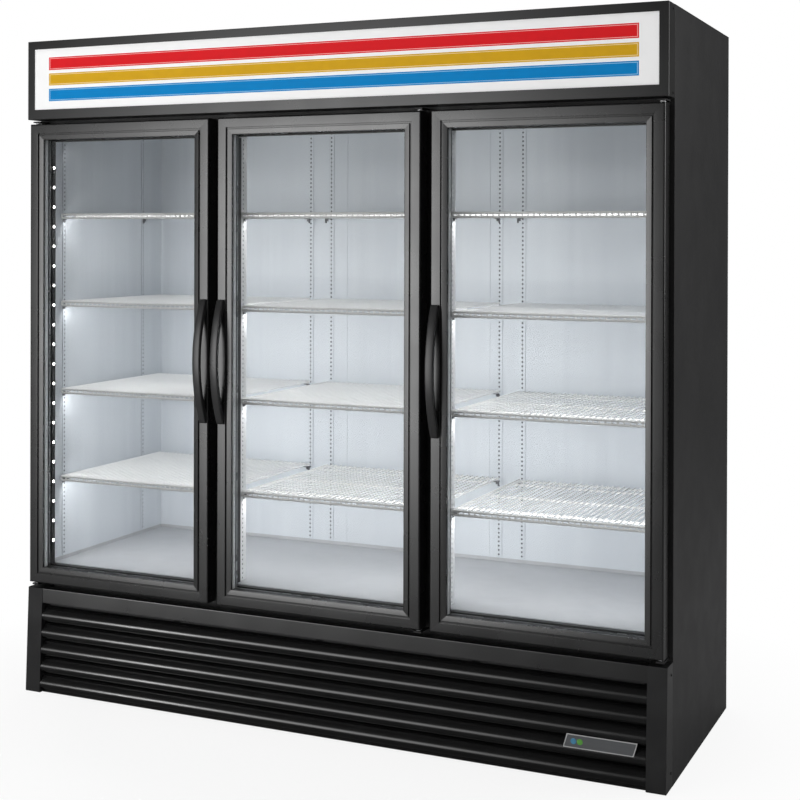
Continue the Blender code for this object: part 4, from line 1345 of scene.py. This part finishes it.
def add_knob():
    """Fluted thermostat knob with a pointer, over a plain dial plate with graduation marks."""
    low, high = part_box("thermostat_knob")
    place = joint_place("thermostat_turn")
    outer = 0.017
    back, front = high.y, low.y
    profile = [(outer, back, 0.0), (outer, back - 0.004, 0.0), (outer * 0.86, back - 0.0060, 0.0006),
               (outer * 0.80, front + 0.0062, 0.0006), (outer * 0.72, front + 0.0046, 0.0),
               (0.0004, front + 0.0042, 0.0)]
    shape = Shape().use("plastic")
    shape.rings([[around(place, radius + flute * math.cos(turn * 16), turn, y) for turn in turns(96)]
                 for radius, y, flute in profile])
    shape.box((place.x - 0.0022, front, place.z - 0.012),
              (place.x + 0.0022, front + 0.006, place.z + 0.014), 0.001)
    shape.use("white").box((place.x - 0.0006, front - 0.0001, place.z + 0.003),
                           (place.x + 0.0006, front + 0.0004, place.z + 0.0135))
    shape.finish("thermostat_knob_cap", "thermostat_knob", ["thermostat_knob"], "black_plastic", 35,
                 weld=False)
    dial = Shape().use("chrome")
    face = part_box("evaporator_housing")[0].y
    dial.lathe(((0.026, 0.0), (0.026, -0.0002), (0.0255, -0.00035), (0.0005, -0.00035)),
               (place.x, face, place.z), "Y", 48)
    dial.use("seal")
    for mark in range(10):
        angle = math.radians(90 - mark * 30)
        for reach in (0.0195, 0.0215, 0.0235):
            x, y, z = around(place, reach, angle, face)
            dial.box((x - 0.0006, y - 0.0005, z - 0.0006), (x + 0.0006, y - 0.00034, z + 0.0006))
    dial.finish("thermostat_dial", "cabinet", weld=False)


def add_switch_plate(casing_low):
    """Bezel round the light switch's hole."""
    place = joint_place("light_switch_rock")
    plate = Shape().use("plastic")
    y = casing_low.y
    low = Vector((place.x - 0.0130, y, place.z - 0.0150))
    high = Vector((place.x + 0.0130, y, place.z + 0.0150))
    mitred_frame(plate, low, high, [(0.0, y - 0.0002), (0.0008, y - 0.0016), (0.0036, y - 0.0016),
                                    (0.0040, y - 0.0010), (0.0040, y - 0.0002)], 0.0)
    plate.finish("light_switch_bezel", "cabinet", weld=False)


# ---------------------------------------------------------------- machine compartment


def dress_machine():
    polish("compressor", "can")
    polish("condenser_coil", "fins")
    polish("fan_shroud", "zinc", 0.001)
    polish("control_box", "zinc")
    polish("drain_pan", "grey", 0.001)
    centre = joint_place("condenser_fan_spin")
    add_rotor("condenser_fan", centre, 0.106, 0.025, 0.021)
    shroud_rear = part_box("fan_shroud")[1].y
    motor = Shape().use("can")
    motor.lathe(((0.004, 0.016), (0.038, 0.016), (0.040, 0.020),
                 (0.040, 0.072), (0.034, 0.080), (0.003, 0.080)), centre, "Y", 32)
    for degrees in (45, 135, 225, 315):
        angle = math.radians(degrees)
        motor.tube([around(centre, 0.036, angle, centre.y + 0.045),
                    around(centre, 0.118, angle, centre.y + 0.040),
                    around(centre, 0.126, angle, shroud_rear + 0.003)], 0.0028, 8)
    motor.finish("condenser_motor", "cabinet", weld=False)
    add_compressor_details()
    add_control_details()


def add_compressor_details():
    """Terminal cover, feet on rubber bushes, and the suction and discharge tubes."""
    low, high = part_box("compressor")
    middle = (low + high) / 2
    shape = Shape().use("can")
    shape.box((middle.x - 0.040, low.y - 0.018, low.z + 0.070),
              (middle.x + 0.040, low.y + 0.012, low.z + 0.150), 0.004, 3)
    for sign_x in (-1, 1):
        for sign_y in (-1, 1):
            x = middle.x + sign_x * 0.088
            y = middle.y + sign_y * 0.070
            root = middle.x + sign_x * 0.05
            shape.box((min(x - 0.018, root), y - 0.016, low.z + 0.012),
                      (max(x + 0.018, root), y + 0.016, low.z + 0.016), 0.001)
    shape.use("gasket")
    for sign_x in (-1, 1):
        for sign_y in (-1, 1):
            centre = (middle.x + sign_x * 0.092, middle.y + sign_y * 0.070, low.z)
            shape.lathe(((0.012, 0.0005), (0.012, 0.010), (0.008, 0.012), (0.0005, 0.012)), centre, "Z", 20)
    shape.use("copper")
    coil_low, coil_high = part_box("condenser_coil")
    shape.tube(smooth_path([(middle.x - 0.06, middle.y - 0.05, high.z - 0.05),
                            (middle.x - 0.11, middle.y - 0.08, 0.19),
                            (middle.x - 0.16, middle.y - 0.12, 0.16),
                            (coil_high.x + 0.03, coil_high.y + 0.02, 0.20),
                            (coil_high.x + 0.008, coil_high.y - 0.03, 0.235)]), 0.0040, 10)
    shape.tube(smooth_path([(middle.x + 0.05, middle.y + 0.05, high.z - 0.06),
                            (middle.x + 0.12, middle.y + 0.09, 0.17),
                            (middle.x + 0.14, middle.y + 0.13, 0.22),
                            (middle.x + 0.14, middle.y + 0.16, 0.292)]), 0.0055, 10)
    shape.finish("compressor_fittings", "cabinet", weld=False)
    bends = Shape().use("copper")
    for row in range(7):
        z = coil_low.z + 0.030 + row * 0.034
        for end, reach in ((coil_low.x, -0.013), (coil_high.x, 0.013)):
            add_bend(bends, end, reach, (coil_low.y + coil_high.y) / 2, 0.014, z, 0.0042)
    bends.finish("condenser_bends", "cabinet", weld=False)


def smooth_path(points):
    """A Catmull-Rom curve through the points."""
    steps = 6
    points = [Vector(point) for point in points]
    full = [points[0]] + points + [points[-1]]
    path = []
    for index in range(1, len(full) - 2):
        a, b, c, d = full[index - 1:index + 3]
        for step in range(steps):
            t = step / steps
            path.append(0.5 * (2 * b + (c - a) * t + (2 * a - 5 * b + 4 * c - d) * t ** 2
                               + (3 * b - a - 3 * c + d) * t ** 3))
    path.append(points[-1])
    return path


def add_control_details():
    """Screwed lid of the control box, its wiring to the condenser fan, and the supply lead to the gland."""
    low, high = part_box("control_box")
    lid = Shape().use("zinc")
    lid.box((low.x - 0.001, low.y - 0.0016, low.z + 0.004),
            (high.x + 0.001, low.y - 0.0002, high.z + 0.001), 0.0005)
    lid.use("pin")
    for across in (low.x + 0.014, high.x - 0.014):
        for up in (low.z + 0.018, high.z - 0.016):
            lid.screw((across, low.y - 0.0016, up), "Y", 0.0035, -1)
    lid.finish("control_box_lid", "cabinet", weld=False)
    loom = Shape().use("wiring")
    coil_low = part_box("condenser_coil")[0]
    loom.tube(smooth_path([(high.x, low.y + 0.06, 0.12), (high.x + 0.06, low.y + 0.07, 0.06),
                           (coil_low.x - 0.08, low.y + 0.10, 0.030), (coil_low.x - 0.02, low.y + 0.16, 0.045),
                           (coil_low.x + 0.10, low.y + 0.21, 0.10)]), 0.0045, 10)
    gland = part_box("cord_gland")[0]
    loom.tube(smooth_path([(low.x + 0.08, high.y, 0.06), (low.x + 0.10, high.y + 0.08, 0.018),
                           (-0.345, REAR - 0.068, 0.016), (-0.06, REAR - 0.06, 0.06),
                           (0.0, gland.y - 0.03, 0.20), (0.0, gland.y - 0.002, 0.20)]), 0.0040, 10)
    loom.finish("wiring_looms", "cabinet", weld=False)


# ---------------------------------------------------------------- assembly

add_camera()
front_lamp, strip_lamp, shelf_lamp = add_studio()
dress_cabinet()
dress_grille()
for door in DOOR_NAMES:
    dress_door(door)
dress_hinges()
dress_interior()
dress_evaporator()
dress_machine()
aim(front_lamp, PANES, "EXCLUDE")
aim(strip_lamp, [bpy.data.objects["louvres"]], "INCLUDE")
aim(shelf_lamp, RACKS, "INCLUDE")
